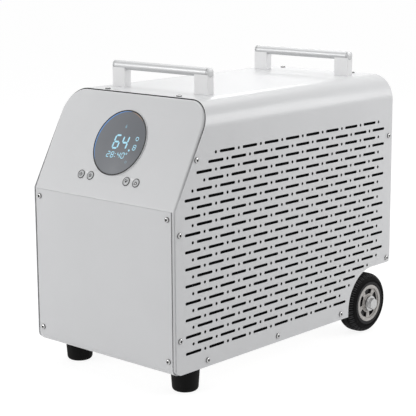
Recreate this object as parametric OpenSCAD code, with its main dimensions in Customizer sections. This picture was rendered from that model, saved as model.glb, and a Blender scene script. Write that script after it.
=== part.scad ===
// Cold and hot water therapy machine: a sheet-metal water chiller on two rear wheels.
// X runs across the width, Y from the front panel to the rear panel, Z up from the floor.

/* [Casing] */
// Width across the side panels
body_w = 300; // [290:5:340]
// Depth from the front panel to the rear panel
body_d = 525; // [515:5:600]
// Height from the underside of the casing to its top
body_h = 390; // [380:5:440]
// Clear height under the casing
ground_h = 40; // [32:1:50]
// Outer radius of the two long top bends
corner_r = 40; // [30:1:48]
// Thickness of the painted steel sheet
sheet_t = 1.2; // [1:0.1:2]
// Gap between two panels that meet
panel_gap = 0.3; // [0.2:0.1:0.5]
// Depth of the folded flanges behind the panel edges
flange_d = 12; // [11:0.5:12]
// Radius of the bend along the foot of the front panel
toe_r = 10; // [7:1:12]
// Radius of the lower rear corner of a side panel
heel_r = 8; // [4:1:12]

/* [Console] */
// Lean of the console back from upright, in degrees
slant = 27.5; // [22:0.5:30]
// Height of the bend below the console, above the underside
kink_h = 241; // [235:1:250]
// Distance of the display centre up the console from that bend
display_up = 88.6; // [84:0.2:94]
// Outer diameter of the display ring
display_d = 104; // [96:1:108]
// Width of the display ring around the glass
display_rim = 3; // [2:0.5:5]
// Thickness of the display glass
lens_t = 1.2; // [0.8:0.1:2]
// Distance of the button row up the console from the bend
button_up = 32.4; // [30:0.2:34]
// Distance of the inner buttons from the middle
button_in = 38; // [34:1:42]
// Distance of the outer buttons from the middle
button_out = 58; // [54:1:64]
// Diameter of a button cap
button_d = 9.4; // [8:0.2:10.4]
// Width of the metal ring around a button cap
button_rim = 1.8; // [1.2:0.1:2.2]
// Travel of a button
button_travel = 1; // [0.6:0.1:1.4]

/* [Front cover] */
// Thickness of the front cover
cover_t = 1.6; // [1:0.1:2]
// Distance of the front cover's side edges inside the side panels
cover_side = 7; // [6:0.5:14]
// Gap from the bend to the top of the front cover
cover_drop = 1; // [0.5:0.5:4]
// Length of the front cover's hook under the casing
cover_lip = 7; // [3:0.5:9]

/* [Grille] */
// Number of hole rows in a side panel
grille_rows = 24; // [18:1:25]
// Number of hole places along a full row
grille_sites = 19; // [15:1:19]
// Distance between rows
row_pitch = 12.5; // [11:0.5:13]
// Distance between hole places along a row
site_pitch = 25; // [22:0.5:25.5]
// Length of a slot
slot_l = 31; // [24:1:33]
// Width of a slot
slot_w = 3.6; // [2:0.2:4]
// Diameter of a dot
dot_d = 4; // [2.4:0.2:5]
// Distance of the first row below the top of the casing
grille_drop = 73.5; // [70:0.5:90]
// Distance of the first hole place from the rear edge
grille_rear = 39; // [37:1:48]

/* [Handles] */
// Length of a handle rod
rod_l = 200; // [180:5:205]
// Diameter of a handle rod
rod_d = 14; // [12:0.5:16]
// Height of a rod's axis above the top of the casing
rod_rise = 33; // [30:1:42]
// Width of a handle post
post_w = 27; // [24:1:32]
// Depth of a handle post
post_d = 15; // [14.5:0.5:20]
// Distance of a handle from the end of the top
handle_inset = 53; // [46:1:70]

/* [Feet and wheels] */
// Distance of a front foot from the middle
foot_x = 115; // [105:1:118]
// Distance of a front foot behind the front panel
foot_y = 54.5; // [50:0.5:70]
// Diameter of a foot at its top
foot_top_d = 45; // [40:1:48]
// Diameter of a foot at the floor
foot_low_d = 40; // [34:1:44]
// Outer diameter of a tyre
wheel_d = 100; // [96:1:102]
// Distance of the axle in front of the rear panel
axle_back = 50.5; // [48:0.5:62]
// Radius of the wheel arch
arch_r = 64; // [60:0.5:68]
// Width of a tyre
tyre_w = 34; // [28:1:36]
// Diameter of the hub inside the tyre
hub_d = 62; // [58:1:66]
// Distance of the outer face of a hub inside the side panel
hub_inset = 4; // [3:0.5:8]
// Diameter of the axle
axle_d = 12; // [10:0.5:14]
// Number of notches round each shoulder of a tyre
tread_count = 36; // [24:2:48]
// Radial clearance of anything that turns on a shaft
run_clear = 0.05; // [0.03:0.01:0.08]

/* [Fasteners] */
// Head diameter of the casing screws
screw_head_d = 8.5; // [7.5:0.1:9]
// Head height of the casing screws
screw_head_h = 2.5; // [2:0.1:3]
// Thread diameter of the casing screws
screw_d = 4; // [3.5:0.1:4.2]
// Distance of the casing screws from a panel edge
screw_inset = 8; // [7.5:0.1:9]

/* [Rear panel] */
// Outer diameter of a water port
port_d = 26.4; // [24:0.1:28]
// Bore of a water port
port_bore = 19; // [16:0.5:20]
// Reach of a water port behind the rear panel
port_reach = 30; // [24:1:40]
// Height of the lower water port above the underside
port_z = 120; // [116:1:124]
// Height of the power inlet above the underside
inlet_z = 128; // [122:1:134]
// Width of the power inlet opening
inlet_w = 27; // [26:0.5:28]
// Height of the power inlet opening
inlet_h = 19.5; // [19:0.5:21]
// Tilt of the rocker switch key each way, in degrees
rocker_tilt = 9; // [6:1:11]

/* [Cooling parts] */
// Thickness of the condenser
cond_t = 22; // [18:1:26]
// Height of the condenser
cond_h = 322; // [316:1:324]
// Radius of the fan blades
fan_r = 115; // [105:1:118]
// Number of fan blades
fan_blades = 5; // [3:1:7]
// Radius of the compressor shell
comp_r = 56; // [50:1:58]
// Height of the compressor shell
comp_h = 190; // [175:1:200]
// Radius of the heat exchanger tank
tank_r = 58; // [52:1:60]
// Height of the heat exchanger tank
tank_h = 240; // [225:1:245]
// Radius of the water filter housing
filter_r = 40; // [36:1:41]
// Height of the water filter housing under its head
filter_h = 185; // [170:1:195]
// Radius of the water hoses
hose_r = 10; // [8:0.5:11]
// Radius of the copper pipes
pipe_r = 4.5; // [3.5:0.5:5]

/* [Hidden] */
$fn = 64;

paint = "#e9ebec";
front_paint = "#dfe1e2";
steel = "#b9bcbe";
zinc = "#c9cdd0";
black = "#1b1b1d";
rubber = "#161617";
copper = "#b87346";

// Reach of the whole machine, and the casing's place in the model's frame
reach_front = cover_t + screw_head_h;
y0 = (reach_front - body_d - port_reach) / 2;
z0 = ground_h;

// Panels that tuck inside the outer shell
tuck = sheet_t + panel_gap;
half_w = body_w / 2;
bend_z = body_h - corner_r;
inner_x = half_w - tuck - sheet_t;

// Console
top_y = lean_y(body_h);
console_l = (body_h - kink_h) / cos(slant);
lens_r = display_d / 2 - display_rim;
ledge_t = 0.6;
bezel_wall = 2;
collar_r = lens_r - 1.3;
board_deep = 10;
board_t = 1.6;
tact_h = 2.1;
cap_proud = 1;
cap_lip = 1.5;
cap_low = board_deep - tact_h - panel_gap - button_travel;
button_hole_r = button_d / 2 + button_rim - 0.6;

// Wheels
wheel_r = wheel_d / 2;
axle_z = wheel_r - ground_h;
arch_y = body_d - axle_back;
notch_z = axle_z + arch_r;
arch_foot = arch_y - arch_r;
hub_out = half_w - hub_inset;
bush_out = hub_out + 1;
bush_in = hub_out - tyre_w - 1;
wheel_mid = hub_out - tyre_w / 2;
washer_t = 2;
end_gap = 0.2;
axle_end = bush_out + end_gap;

// Base pan
pan_z = sheet_t;
pan_top = pan_z + sheet_t;
pan_front = toe_r + 2;
pan_rear = body_d - tuck;
pan_lip = 20;
arch_lip = 6;
heel_lip = 14;
return_d = 20;
top_flange = 20;

// Grille
grille_top = body_h - grille_drop;
edge_margin = 10;
arch_margin = 5.5;
screw_margin = 19;

// Casing screws, as [y, z] on a side panel
bottom_screw_z = 10;
console_screw_z = 309.5;
front_screw_high = 206.5;
front_screw_low = 51.5;
rear_screw_high = 290.5;
low_screw_front = 66;
low_screw_rear = arch_foot - 21.5;
side_screws = [
  [lean_y(console_screw_z) + screw_inset / cos(slant), console_screw_z],
  [screw_inset, front_screw_high],
  [screw_inset, front_screw_low],
  [low_screw_front, bottom_screw_z],
  [(low_screw_front + low_screw_rear) / 2, bottom_screw_z],
  [low_screw_rear, bottom_screw_z],
  [body_d - screw_inset - 2, notch_z + screw_inset],
  [body_d - screw_inset - 2, rear_screw_high]];
top_screw_x = 75;
top_screw_in = 12;
top_screws = [for (sx = [-1, 1], y = [top_y + top_screw_in, body_d - top_screw_in])
  [sx * top_screw_x, y]];
cover_w = body_w - 2 * cover_side;
cover_low = toe_r + 0.5;
cover_high = kink_h - cover_drop;
cover_screws = [for (sx = [-1, 1], z = [cover_low + 10, cover_high - 11])
  [sx * (cover_w / 2 - 7.5), z]];
rear_screw_x = half_w - 40;
rear_screws = [for (x = [-rear_screw_x, 0, rear_screw_x]) [x, notch_z + 11]];
screw_l = 7;
screw_hole_d = screw_d + 0.4;

// Handles
handle_ys = [top_y + handle_inset, body_d - handle_inset];
rod_z = body_h + rod_rise;
post_x = rod_l / 2 - post_w / 2;
post_pitch = 14;

// Parts inside the casing
screen_t = 3;
screen_out = inner_x - panel_gap;
cond_x = screen_out - screen_t - 3.4 - cond_t;
cond_y = 60;
cond_l = arch_foot - 10 - cond_y;
cond_z = pan_top;
fan_y = cond_y + cond_l / 2;
fan_z = cond_z + cond_h / 2;
bend_count = 7;
bend_low = 24;
bend_pitch = (cond_h - bend_low - 62) / bend_count;
plenum_d = 8;
shroud_x = cond_x - plenum_d - sheet_t;
duct_d = 15;
motor_r = 42;
motor_l = 45;
strap_t = 3;
strap_w = 40;
fan_w = 21.5;
fan_gap = 3;
hub_x = shroud_x - 2 - fan_w;
motor_x = hub_x - fan_gap - motor_l;
strap_x = motor_x - strap_t;
fan_shaft_r = 4;
leg_up = min(fan_r + 14, cond_h / 2 - 12);
comp_x = -(screen_out - screen_t - 9.8 - comp_r);
comp_y = arch_foot - 68;
comp_foot = 58;
comp_z = pan_top + 15;
acc_r = 19;
acc_x = comp_x + comp_r + 6 + acc_r;
acc_z = 70;
acc_h = 112;
valve_z = comp_z + comp_h + 38;
valve_r = 12;
valve_l = 76;
valve_step = 20;
tank_x = -(screen_out - screen_t - 8.4 - tank_r);
tank_y = 212;
tank_lip = 4;
tank_port = 5;
filter_x = -(screen_out - screen_t - 12 - filter_r);
filter_y = 96;
filter_port = 4;
head_h = 30;
head_z = pan_top + filter_h + head_h / 2;
pump_x = half_w - 90;
pump_z = 55;
volute_r = 38;
volute_t = 26;
pump_motor_r = 32;
pump_motor_l = filter_y - volute_t / 2 - 14;
spigot_l = 16;
link_z = head_z;
tank_side_z = pan_top + 37;
hose_low_y = arch_foot - 16;
port_xs = [pump_x - 40, pump_x];
port_zs = [port_z + 30, port_z];
tail_l = 22;
pipe_y = arch_foot + 10;
liquid_z = cond_z + bend_low + 5 * bend_pitch;
hot_z = cond_z + cond_h - 37;
suction_z = hot_z + 14;
drier_r = 11;
drier_l = 60;
drier_x = cond_x + cond_t / 2 - 49;
box_x = 25;
box_w = 150;
box_d = 58;
box_h = 120;
box_z = 225;
switch_x = 90 - half_w;
inlet_x = 40 - half_w;
inlet_deep = 24;
switch_w = 21;
switch_h = 15;

// Y of the console's outer face at height z, measured from the front panel
function lean_y(z) = max(0, z - kink_h) * tan(slant);

// Frame of the casing: x across, y back from the front panel, z up from its underside
module in_body() {
  translate([0, y0, z0]) children();
}

// Frame of the console: y up the slope, z out of the panel
module on_console() {
  in_body() translate([0, 0, kink_h]) rotate([90 - slant, 0, 0]) children();
}

// Frame of the rear panel: x across, y up, z out of the back
module on_rear() {
  in_body() translate([0, body_d, 0]) rotate([90, 0, 180]) children();
}

// Extrudes an outline drawn in y and z along x
module along_x(w) {
  rotate([90, 0, 90]) linear_extrude(w, center = true) children();
}

// Extrudes an outline drawn in x and z along y
module along_y(y, l) {
  translate([0, y + l, 0]) rotate([90, 0, 0]) linear_extrude(l) children();
}

// Cylinder along x, from x to x + l
module x_rod(r, x, l) {
  translate([x, 0, 0]) rotate([0, 90, 0]) cylinder(r = r, h = l);
}

// Section across the casing, set in by d all round, from height low upwards
module section(d, low) {
  translate([d - half_w, low]) square([body_w - 2 * d, bend_z - low]);
  translate([corner_r - half_w, bend_z]) square([body_w - 2 * corner_r, corner_r - d]);
  for (s = [-1, 1])
    translate([s * (half_w - corner_r), bend_z]) circle(corner_r - d);
}

// Everything behind the front sheet, set back by d, with its rounded toe
module front_space(d, high) {
  difference() {
    polygon([[d, d], [d, kink_h - d * tan(slant / 2)], [lean_y(high) + d / cos(slant), high],
      [body_d, high], [body_d, d]]);
    difference() {
      translate([d, d]) square(toe_r - d);
      translate([toe_r, toe_r]) circle(toe_r - d);
    }
  }
}

// Front sheet and its folded edges seen from the side, filled
module front_fold() {
  difference() {
    polygon([[0, 0], [0, kink_h], [lean_y(body_h), body_h], [lean_y(body_h) + top_flange, body_h],
      [lean_y(bend_z) + top_flange, bend_z], [lean_y(bend_z) + flange_d / cos(slant), bend_z],
      [flange_d, kink_h - flange_d * tan(slant / 2)], [flange_d, sheet_t], [return_d, sheet_t],
      [return_d, 0]]);
    difference() {
      square(toe_r);
      translate([toe_r, toe_r]) circle(toe_r);
    }
  }
}

// Everything behind the front panel and console, up to height high
module front_side(high) {
  difference() {
    polygon([[0, 0], [0, kink_h], [lean_y(high), high], [body_d, high], [body_d, 0]]);
    difference() {
      square(toe_r);
      translate([toe_r, toe_r]) circle(toe_r);
    }
  }
}

// Space for the wheels below and behind the arch
module wheel_space(grow) {
  translate([arch_y, axle_z]) circle(arch_r + grow);
  translate([arch_y, -ground_h]) square([body_d, ground_h + notch_z + grow]);
  translate([arch_foot - grow, -ground_h]) square([arch_r + grow, ground_h + axle_z]);
}

module slot(l, w) {
  square([l - w, w], center = true);
  for (s = [-1, 1]) translate([s * (l - w) / 2, 0]) circle(w / 2, $fn = 24);
}

// Screw head up along +z, its thread down
module pan_screw(l) {
  dome = screw_head_d * 0.62;
  rotate_extrude() intersection() {
    translate([0, screw_head_h - dome]) circle(dome);
    square([screw_head_d / 2, screw_head_h]);
  }
  translate([0, 0, -l]) cylinder(d = screw_d, h = l, $fn = 24);
}

// A bent tube through axis-parallel points, with one bend radius
function unit(v) = v / norm(v);
module tube_run(points, r, bend) {
  last = len(points) - 1;
  for (i = [0 : last - 1]) {
    d = unit(points[i + 1] - points[i]);
    a = points[i] + d * (i == 0 ? 0 : bend);
    b = points[i + 1] - d * (i == last - 1 ? 0 : bend);
    x = abs(d.z) < 0.5 ? [0, 0, 1] : [1, 0, 0];
    y = cross(d, x);
    multmatrix([[x.x, y.x, d.x, a.x], [x.y, y.y, d.y, a.y], [x.z, y.z, d.z, a.z]])
      cylinder(r = r, h = norm(b - a), $fn = 32);
  }
  for (i = [1 : last - 1]) {
    d = unit(points[i] - points[i - 1]);
    e = unit(points[i + 1] - points[i]);
    n = cross(d, e);
    c = points[i] + (e - d) * bend;
    multmatrix([[-e.x, d.x, n.x, c.x], [-e.y, d.y, n.y, c.y], [-e.z, d.z, n.z, c.z]])
      rotate_extrude(angle = 90) translate([bend, 0]) circle(r, $fn = 32);
  }
}

// ---- Casing ----

// Bent tray with a rolled step over the wheels
module base_pan() {
  color(steel) difference() {
    in_body() {
      along_x(2 * (inner_x + sheet_t)) {
        translate([pan_front, pan_z]) square([arch_foot - pan_front, sheet_t]);
        translate([pan_front, pan_z]) square([sheet_t, pan_lip]);
        if (axle_z > pan_z)
          translate([arch_foot - sheet_t, pan_z]) square([sheet_t, axle_z - pan_z]);
        intersection() {
          translate([arch_y, axle_z]) difference() {
            circle(arch_r + sheet_t);
            circle(arch_r);
          }
          translate([0, max(axle_z, pan_z)]) square([arch_y, notch_z]);
        }
        translate([arch_y, notch_z]) square([pan_rear - arch_y, sheet_t]);
        translate([pan_rear - sheet_t, notch_z]) square([sheet_t, heel_lip]);
      }
      for (s = [-1, 1]) translate([s * (inner_x + sheet_t / 2), 0, 0]) along_x(sheet_t)
        difference() {
          union() {
            translate([pan_front, pan_z]) square([arch_foot - pan_front, pan_lip]);
            translate([arch_y, notch_z]) square([pan_rear - arch_y, heel_lip]);
            translate([arch_y, axle_z]) intersection() {
              circle(arch_r + arch_lip);
              translate([-body_d, 0]) square([body_d, body_d]);
            }
          }
          wheel_space(0);
        }
    }
    in_body() for (p = side_screws) translate([0, p.x, p.y])
      rotate([0, 90, 0]) cylinder(d = screw_hole_d, h = body_w, center = true, $fn = 24);
    in_body() for (s = [-1, 1]) translate([s * foot_x, foot_y, 0])
      cylinder(r = 3.3, h = 2 * ground_h, center = true);
    on_rear() for (p = rear_screws) translate([p.x, p.y, 0])
      cylinder(d = screw_hole_d, h = 20, center = true, $fn = 24);
  }
}

// One bent sheet: toe, front panel and slanted console, with folded edges
module front_frame() {
  color(front_paint) difference() {
    in_body() intersection() {
      along_y(-1, body_d) section(tuck, -1);
      along_x(body_w) front_fold();
    }
    in_body() intersection() {
      along_y(-1, body_d) section(tuck + sheet_t, -1);
      along_x(body_w) front_space(sheet_t, body_h + 1);
    }
    in_body() intersection() {
      translate([-body_w / 2, 0, 0]) cube([body_w, 2 * return_d, pan_lip + pan_top]);
      along_x(2 * body_w) front_space(sheet_t, body_h + 1);
    }
    in_body() translate([0, 0, (cover_low + cover_high) / 2])
      cube([cover_w - 50, 4 * toe_r, cover_high - cover_low - 50], center = true);
    in_body() for (p = cover_screws) translate([p.x, 0, p.y]) rotate([90, 0, 0])
      cylinder(d = screw_hole_d, h = 20, center = true, $fn = 24);
    in_body() for (p = side_screws) translate([0, p.x, p.y])
      rotate([0, 90, 0]) cylinder(d = screw_hole_d, h = body_w, center = true, $fn = 24);
    in_body() for (p = top_screws) translate([p.x, p.y, body_h])
      cylinder(d = screw_hole_d, h = 20, center = true, $fn = 24);
    on_console() translate([0, display_up, 0])
      cylinder(r = collar_r + panel_gap, h = 20, center = true);
    on_console() for (x = [-button_out, -button_in, button_in, button_out])
      translate([x, button_up, 0]) cylinder(r = button_hole_r, h = 20, center = true);
  }
}

// Plate over the service opening, rolled round the toe and hooked under the casing
module front_cover() {
  color(front_paint) in_body() difference() {
    along_x(cover_w) {
      translate([-cover_t, toe_r]) square([cover_t, cover_high - toe_r]);
      intersection() {
        translate([toe_r, toe_r]) difference() {
          circle(toe_r + cover_t);
          circle(toe_r);
        }
        translate([-cover_t, -cover_t]) square(toe_r + cover_t);
      }
      translate([toe_r, -cover_t]) square([cover_lip, cover_t]);
    }
    for (p = cover_screws) translate([p.x, 0, p.y]) rotate([90, 0, 0])
      cylinder(d = screw_hole_d, h = 20, center = true, $fn = 24);
  }
}

// Top of the outer shell with its two long bends
module top_shell() {
  color(paint) in_body() difference() {
    intersection() {
      along_y(0, body_d) difference() {
        section(0, bend_z - 1);
        section(sheet_t, bend_z - 2);
      }
      along_x(body_w + 2) polygon([[lean_y(bend_z), bend_z], [lean_y(body_h + 1), body_h + 1],
        [body_d, body_h + 1], [body_d, bend_z]]);
    }
    for (p = top_screws) translate([p.x, p.y, body_h])
      cylinder(d = screw_hole_d, h = 20, center = true, $fn = 24);
    for (y = handle_ys, sx = [-1, 1], sp = [-1, 1])
      translate([sx * post_x + sp * post_pitch / 2, y, body_h])
        cylinder(r = 2.7, h = 20, center = true, $fn = 24);
  }
}

// Hole places of a side panel that keep clear of the console, the arch and a screw
function site(r, i) = [body_d - grille_rear - i * site_pitch, grille_top - r * row_pitch];
function is_slot(r, i) = (r + i) % 2 == 1;
function half_len(r, i) = (is_slot(r, i) ? slot_l : dot_d) / 2;
function clear_front(p, h) = p.x - h >= lean_y(p.y) + edge_margin;
function clear_arch(p, h) = p.x < arch_y
  ? norm([min(p.x + h, arch_y) - arch_y, p.y - axle_z]) >= arch_r + arch_margin
  : p.y - dot_d / 2 >= notch_z + arch_margin;
function clear_screw(p, h) = h > dot_d || norm(p - side_screws[0]) > screw_margin;
function keeps(r, i) = clear_front(site(r, i), half_len(r, i))
  && clear_arch(site(r, i), half_len(r, i)) && clear_screw(site(r, i), half_len(r, i));

// Side of the outer shell with its rows of slots and dots
module side_grille(s) {
  color(paint) in_body() translate([s * (half_w - sheet_t / 2), 0, 0]) along_x(sheet_t)
    difference() {
      front_side(bend_z);
      wheel_space(0);
      difference() {
        translate([body_d - heel_r, notch_z]) square(heel_r);
        translate([body_d - heel_r, notch_z + heel_r]) circle(heel_r);
      }
      for (p = side_screws) translate(p) circle(d = screw_hole_d, $fn = 24);
      for (r = [0 : grille_rows - 1], i = [0 : grille_sites - 1])
        if (keeps(r, i)) translate(site(r, i)) {
          if (is_slot(r, i)) slot(slot_l, slot_w);
          else circle(dot_d / 2, $fn = 24);
        }
    }
}
module side_grille_right() side_grille(1);
module side_grille_left() side_grille(-1);

// Rear panel with folded edges and its cut-outs
module rear_panel() {
  color(paint) difference() {
    in_body() {
      along_y(body_d - sheet_t, sheet_t) section(tuck, notch_z);
      along_y(body_d - flange_d, flange_d) difference() {
        section(tuck, notch_z + heel_lip + sheet_t);
        section(tuck + sheet_t, notch_z);
      }
    }
    in_body() for (p = side_screws) translate([0, p.x, p.y])
      rotate([0, 90, 0]) cylinder(d = screw_hole_d, h = body_w, center = true, $fn = 24);
    in_body() for (p = top_screws) translate([p.x, p.y, body_h])
      cylinder(d = screw_hole_d, h = 20, center = true, $fn = 24);
    on_rear() for (p = rear_screws) translate([p.x, p.y, 0])
      cylinder(d = screw_hole_d, h = 20, center = true, $fn = 24);
    on_rear() for (k = [0, 1]) translate([-port_xs[k], port_zs[k], 0])
      cylinder(d = port_d + 0.4, h = 20, center = true);
    on_rear() translate([-inlet_x, inlet_z, 0])
      cube([inlet_w + 4.6, inlet_h + 4.6, 20], center = true);
    on_rear() translate([-switch_x, inlet_z, 0])
      cube([switch_w + 0.4, switch_h + 0.4, 20], center = true);
  }
}

// All pan-head screws of the casing
module case_screws() {
  color(zinc) {
    in_body() for (s = [-1, 1], p = side_screws)
      translate([s * half_w, p.x, p.y]) rotate([0, s * 90, 0]) pan_screw(screw_l);
    in_body() for (p = top_screws) translate([p.x, p.y, body_h]) pan_screw(screw_l);
    in_body() for (p = cover_screws)
      translate([p.x, -cover_t, p.y]) rotate([90, 0, 0]) pan_screw(screw_l);
    on_rear() for (p = rear_screws) translate([p.x, p.y, 0]) pan_screw(screw_l);
  }
}

// Black filter mat behind a grille, cut to the inside of the flanges
module dust_screen(s) {
  color(black) in_body() translate([s * (screen_out - screen_t / 2), 0, 0])
    along_x(screen_t) difference() {
      intersection() {
        front_side(bend_z - 6);
        translate([pan_front + sheet_t + panel_gap, pan_top + panel_gap])
          square([pan_rear - sheet_t - pan_front - 2 * sheet_t, body_h]);
        translate([(sheet_t + panel_gap) / cos(slant), 0]) front_side(body_h);
      }
      wheel_space(sheet_t + panel_gap);
      for (p = side_screws) translate(p) circle(screw_d, $fn = 24);
    }
}
module dust_screen_right() dust_screen(1);
module dust_screen_left() dust_screen(-1);

// ---- Handles ----

module handle_rod(y) {
  chamfer = 0.8;
  color(paint) in_body() translate([0, y, rod_z]) {
    x_rod(rod_d / 2, chamfer - rod_l / 2, rod_l - 2 * chamfer);
    for (s = [-1, 1]) translate([s * (rod_l / 2 - chamfer), 0, 0]) rotate([0, s * 90, 0])
      cylinder(r1 = rod_d / 2, r2 = rod_d / 2 - chamfer, h = chamfer);
  }
}
module front_handle_rod() handle_rod(handle_ys[0]);
module rear_handle_rod() handle_rod(handle_ys[1]);

// Two blocks that carry a rod in round saddles
module handle_posts(y) {
  saddle_gap = 0.05;
  color(paint) in_body() for (s = [-1, 1]) translate([s * post_x, y, body_h]) difference() {
    translate([-post_w / 2, -post_d / 2, 0]) cube([post_w, post_d, rod_rise]);
    translate([0, 0, rod_rise]) x_rod(rod_d / 2 + saddle_gap, -post_w, 2 * post_w);
    for (sp = [-1, 1]) translate([sp * post_pitch / 2, 0, -1])
      cylinder(r = 2.6, h = 16, $fn = 24);
  }
}
module front_handle_posts() handle_posts(handle_ys[0]);
module rear_handle_posts() handle_posts(handle_ys[1]);

module handle_screws() {
  color(zinc) in_body() for (y = handle_ys, sx = [-1, 1], sp = [-1, 1])
    translate([sx * post_x + sp * post_pitch / 2, y, body_h - sheet_t]) {
      translate([0, 0, -3]) cylinder(r = 4.5, h = 3);
      cylinder(r = 2.5, h = sheet_t + 14, $fn = 24);
    }
}

// ---- Feet ----

// Tapered rubber foot with a recess for its screw
module foot(x) {
  round_r = 6;
  h = ground_h + pan_z;
  low_r = foot_low_d / 2;
  color(rubber) in_body() translate([x, foot_y, -ground_h]) rotate_extrude() difference() {
    union() {
      polygon([[0, 0], [low_r - round_r, 0], [low_r, round_r], [foot_top_d / 2, h], [0, h]]);
      translate([low_r - round_r, round_r]) circle(round_r);
    }
    translate([-low_r, -1]) square([low_r, h + 2]);
    square([7.5, h - 14]);
    square([3.3, h + 1]);
  }
}
module foot_left() foot(-foot_x);
module foot_right() foot(foot_x);

module foot_screws() {
  color(zinc) in_body() for (s = [-1, 1]) translate([s * foot_x, foot_y, pan_z - 14]) {
    translate([0, 0, -4]) cylinder(r = 6, h = 4);
    cylinder(r = 3, h = 14 + sheet_t + 6, $fn = 24);
    translate([0, 0, 14 + sheet_t]) cylinder(r = 5.8, h = 5, $fn = 6);
  }
}

// ---- Axle and wheels ----

ear_t = 3;
ear_r = 18;
ear_l = 40;
ear_x = bush_in - 5 - ear_t;
module axle_brackets() {
  color(zinc) in_body() for (s = [-1, 1]) mirror([s < 0 ? 1 : 0, 0, 0])
    translate([0, arch_y, 0]) difference() {
      union() {
        translate([ear_x + ear_t / 2, 0, axle_z]) along_x(ear_t) {
          circle(ear_r);
          polygon([[-ear_r, 0], [0, arch_r], [ear_l, arch_r], [ear_r, 0]]);
        }
        translate([ear_x - 30, 0, notch_z - ear_t]) cube([30 + ear_t, ear_l, ear_t]);
      }
      translate([0, 0, axle_z]) x_rod(axle_d / 2 + 0.02, 0, half_w);
      for (y = [10, ear_l - 10]) translate([ear_x - 15, y, notch_z])
        cylinder(r = 3.3, h = 20, center = true, $fn = 24);
    }
}

module axle_rod() {
  color(steel) in_body() translate([0, arch_y, axle_z]) difference() {
    x_rod(axle_d / 2, -axle_end, 2 * axle_end);
    for (s = [-1, 1]) x_rod(3.4, s > 0 ? axle_end - 22 : -axle_end - 1, 23);
  }
}

module axle_spacers() {
  gap = 0.2;
  color(zinc) in_body() translate([0, arch_y, axle_z]) for (s = [-1, 1])
    mirror([s < 0 ? 1 : 0, 0, 0]) difference() {
      x_rod(axle_d / 2 + 3.5, ear_x + ear_t, bush_in - gap - ear_x - ear_t);
      x_rod(axle_d / 2 + 0.1, ear_x, half_w);
    }
}

// Washer and hex bolt at each end of the axle
module axle_end_bolts() {
  color(zinc) in_body() translate([0, arch_y, axle_z]) for (s = [-1, 1])
    mirror([s < 0 ? 1 : 0, 0, 0]) {
      difference() {
        x_rod(12.8, axle_end, washer_t);
        x_rod(3.6, axle_end - 1, washer_t + 2);
      }
      translate([axle_end + washer_t, 0, 0]) rotate([0, 90, 0])
        cylinder(d = 17 / cos(30), h = 6.4, $fn = 6);
      x_rod(3.3, axle_end - 20, 20 + washer_t);
    }
}

// Moulded hub: rim, dished web with five kidney openings, and boss
module wheel_hub(s) {
  rim_r = hub_d / 2;
  boss_r = axle_d / 2 + 8;
  web_t = 6;
  web_in = 2.5;
  kidney_r = (rim_r - 5 + boss_r) / 2;
  kidney_w = (rim_r - 5 - boss_r) * 0.66;
  color("#a9a5a0") in_body() translate([0, arch_y, axle_z]) mirror([s < 0 ? 1 : 0, 0, 0])
    translate([wheel_mid, 0, 0]) rotate([0, 90, 0]) difference() {
      rotate_extrude() {
        translate([rim_r - 5, -tyre_w / 2]) square([5, tyre_w]);
        translate([boss_r - 7, -tyre_w / 2]) square([7, tyre_w]);
        translate([boss_r - 1, tyre_w / 2 - web_in - web_t]) square([rim_r - boss_r - 3, web_t]);
      }
      translate([0, 0, -tyre_w]) cylinder(r = axle_d / 2 + 3, h = 2 * tyre_w);
      linear_extrude(tyre_w) for (a = [0 : 72 : 359]) rotate([0, 0, a]) intersection() {
        difference() {
          circle(kidney_r + kidney_w / 2);
          circle(kidney_r - kidney_w / 2);
        }
        polygon([[0, 0], [rim_r, -rim_r * 0.45], [rim_r, rim_r * 0.45]]);
      }
    }
}

// Rubber tyre: crown with two grooves, and rounded shoulders notched all round
module wheel_tyre(s) {
  rim_r = hub_d / 2;
  crown = tyre_w * 0.24;
  half = tyre_w / 2;
  groove = crown / 2;
  groove_w = 1.6;
  tread_h = 1.6;
  color(rubber) in_body() translate([0, arch_y, axle_z]) mirror([s < 0 ? 1 : 0, 0, 0])
    translate([wheel_mid, 0, 0]) rotate([0, 90, 0]) difference() {
      rotate_extrude() polygon([
        [rim_r, -half + 1], [rim_r + 2, -half], [wheel_r - 11, -half], [wheel_r - 6, -half + 1.5],
        [wheel_r - 2, -half + 5], [wheel_r - 0.4, -crown], [wheel_r - 0.1, -groove - groove_w],
        [wheel_r - tread_h, -groove - groove_w], [wheel_r - tread_h, -groove], [wheel_r, -groove],
        [wheel_r, groove], [wheel_r - tread_h, groove], [wheel_r - tread_h, groove + groove_w],
        [wheel_r - 0.1, groove + groove_w], [wheel_r - 0.4, crown], [wheel_r - 2, half - 5],
        [wheel_r - 6, half - 1.5], [wheel_r - 11, half], [rim_r + 2, half], [rim_r, half - 1]]);
      for (k = [0 : tread_count - 1], e = [-1, 1]) rotate([0, 0, (k + e / 4) * 360 / tread_count])
        translate([wheel_r, 0, e * (crown + 5.5)]) rotate([e * 24, 0, 0])
          cube([7, groove_w, 9], center = true);
    }
}

// Plain bush pressed in the hub, running on the axle
module wheel_bush(s) {
  color("#d8d6cf") in_body() translate([0, arch_y, axle_z]) mirror([s < 0 ? 1 : 0, 0, 0])
    difference() {
      x_rod(axle_d / 2 + 3, bush_in, bush_out - bush_in);
      x_rod(axle_d / 2 + run_clear, bush_in - 1, tyre_w + 4);
    }
}
module wheel_hub_left() wheel_hub(-1);
module wheel_hub_right() wheel_hub(1);
module wheel_tyre_left() wheel_tyre(-1);
module wheel_tyre_right() wheel_tyre(1);
module wheel_bush_left() wheel_bush(-1);
module wheel_bush_right() wheel_bush(1);

// ---- Console parts ----

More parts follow.
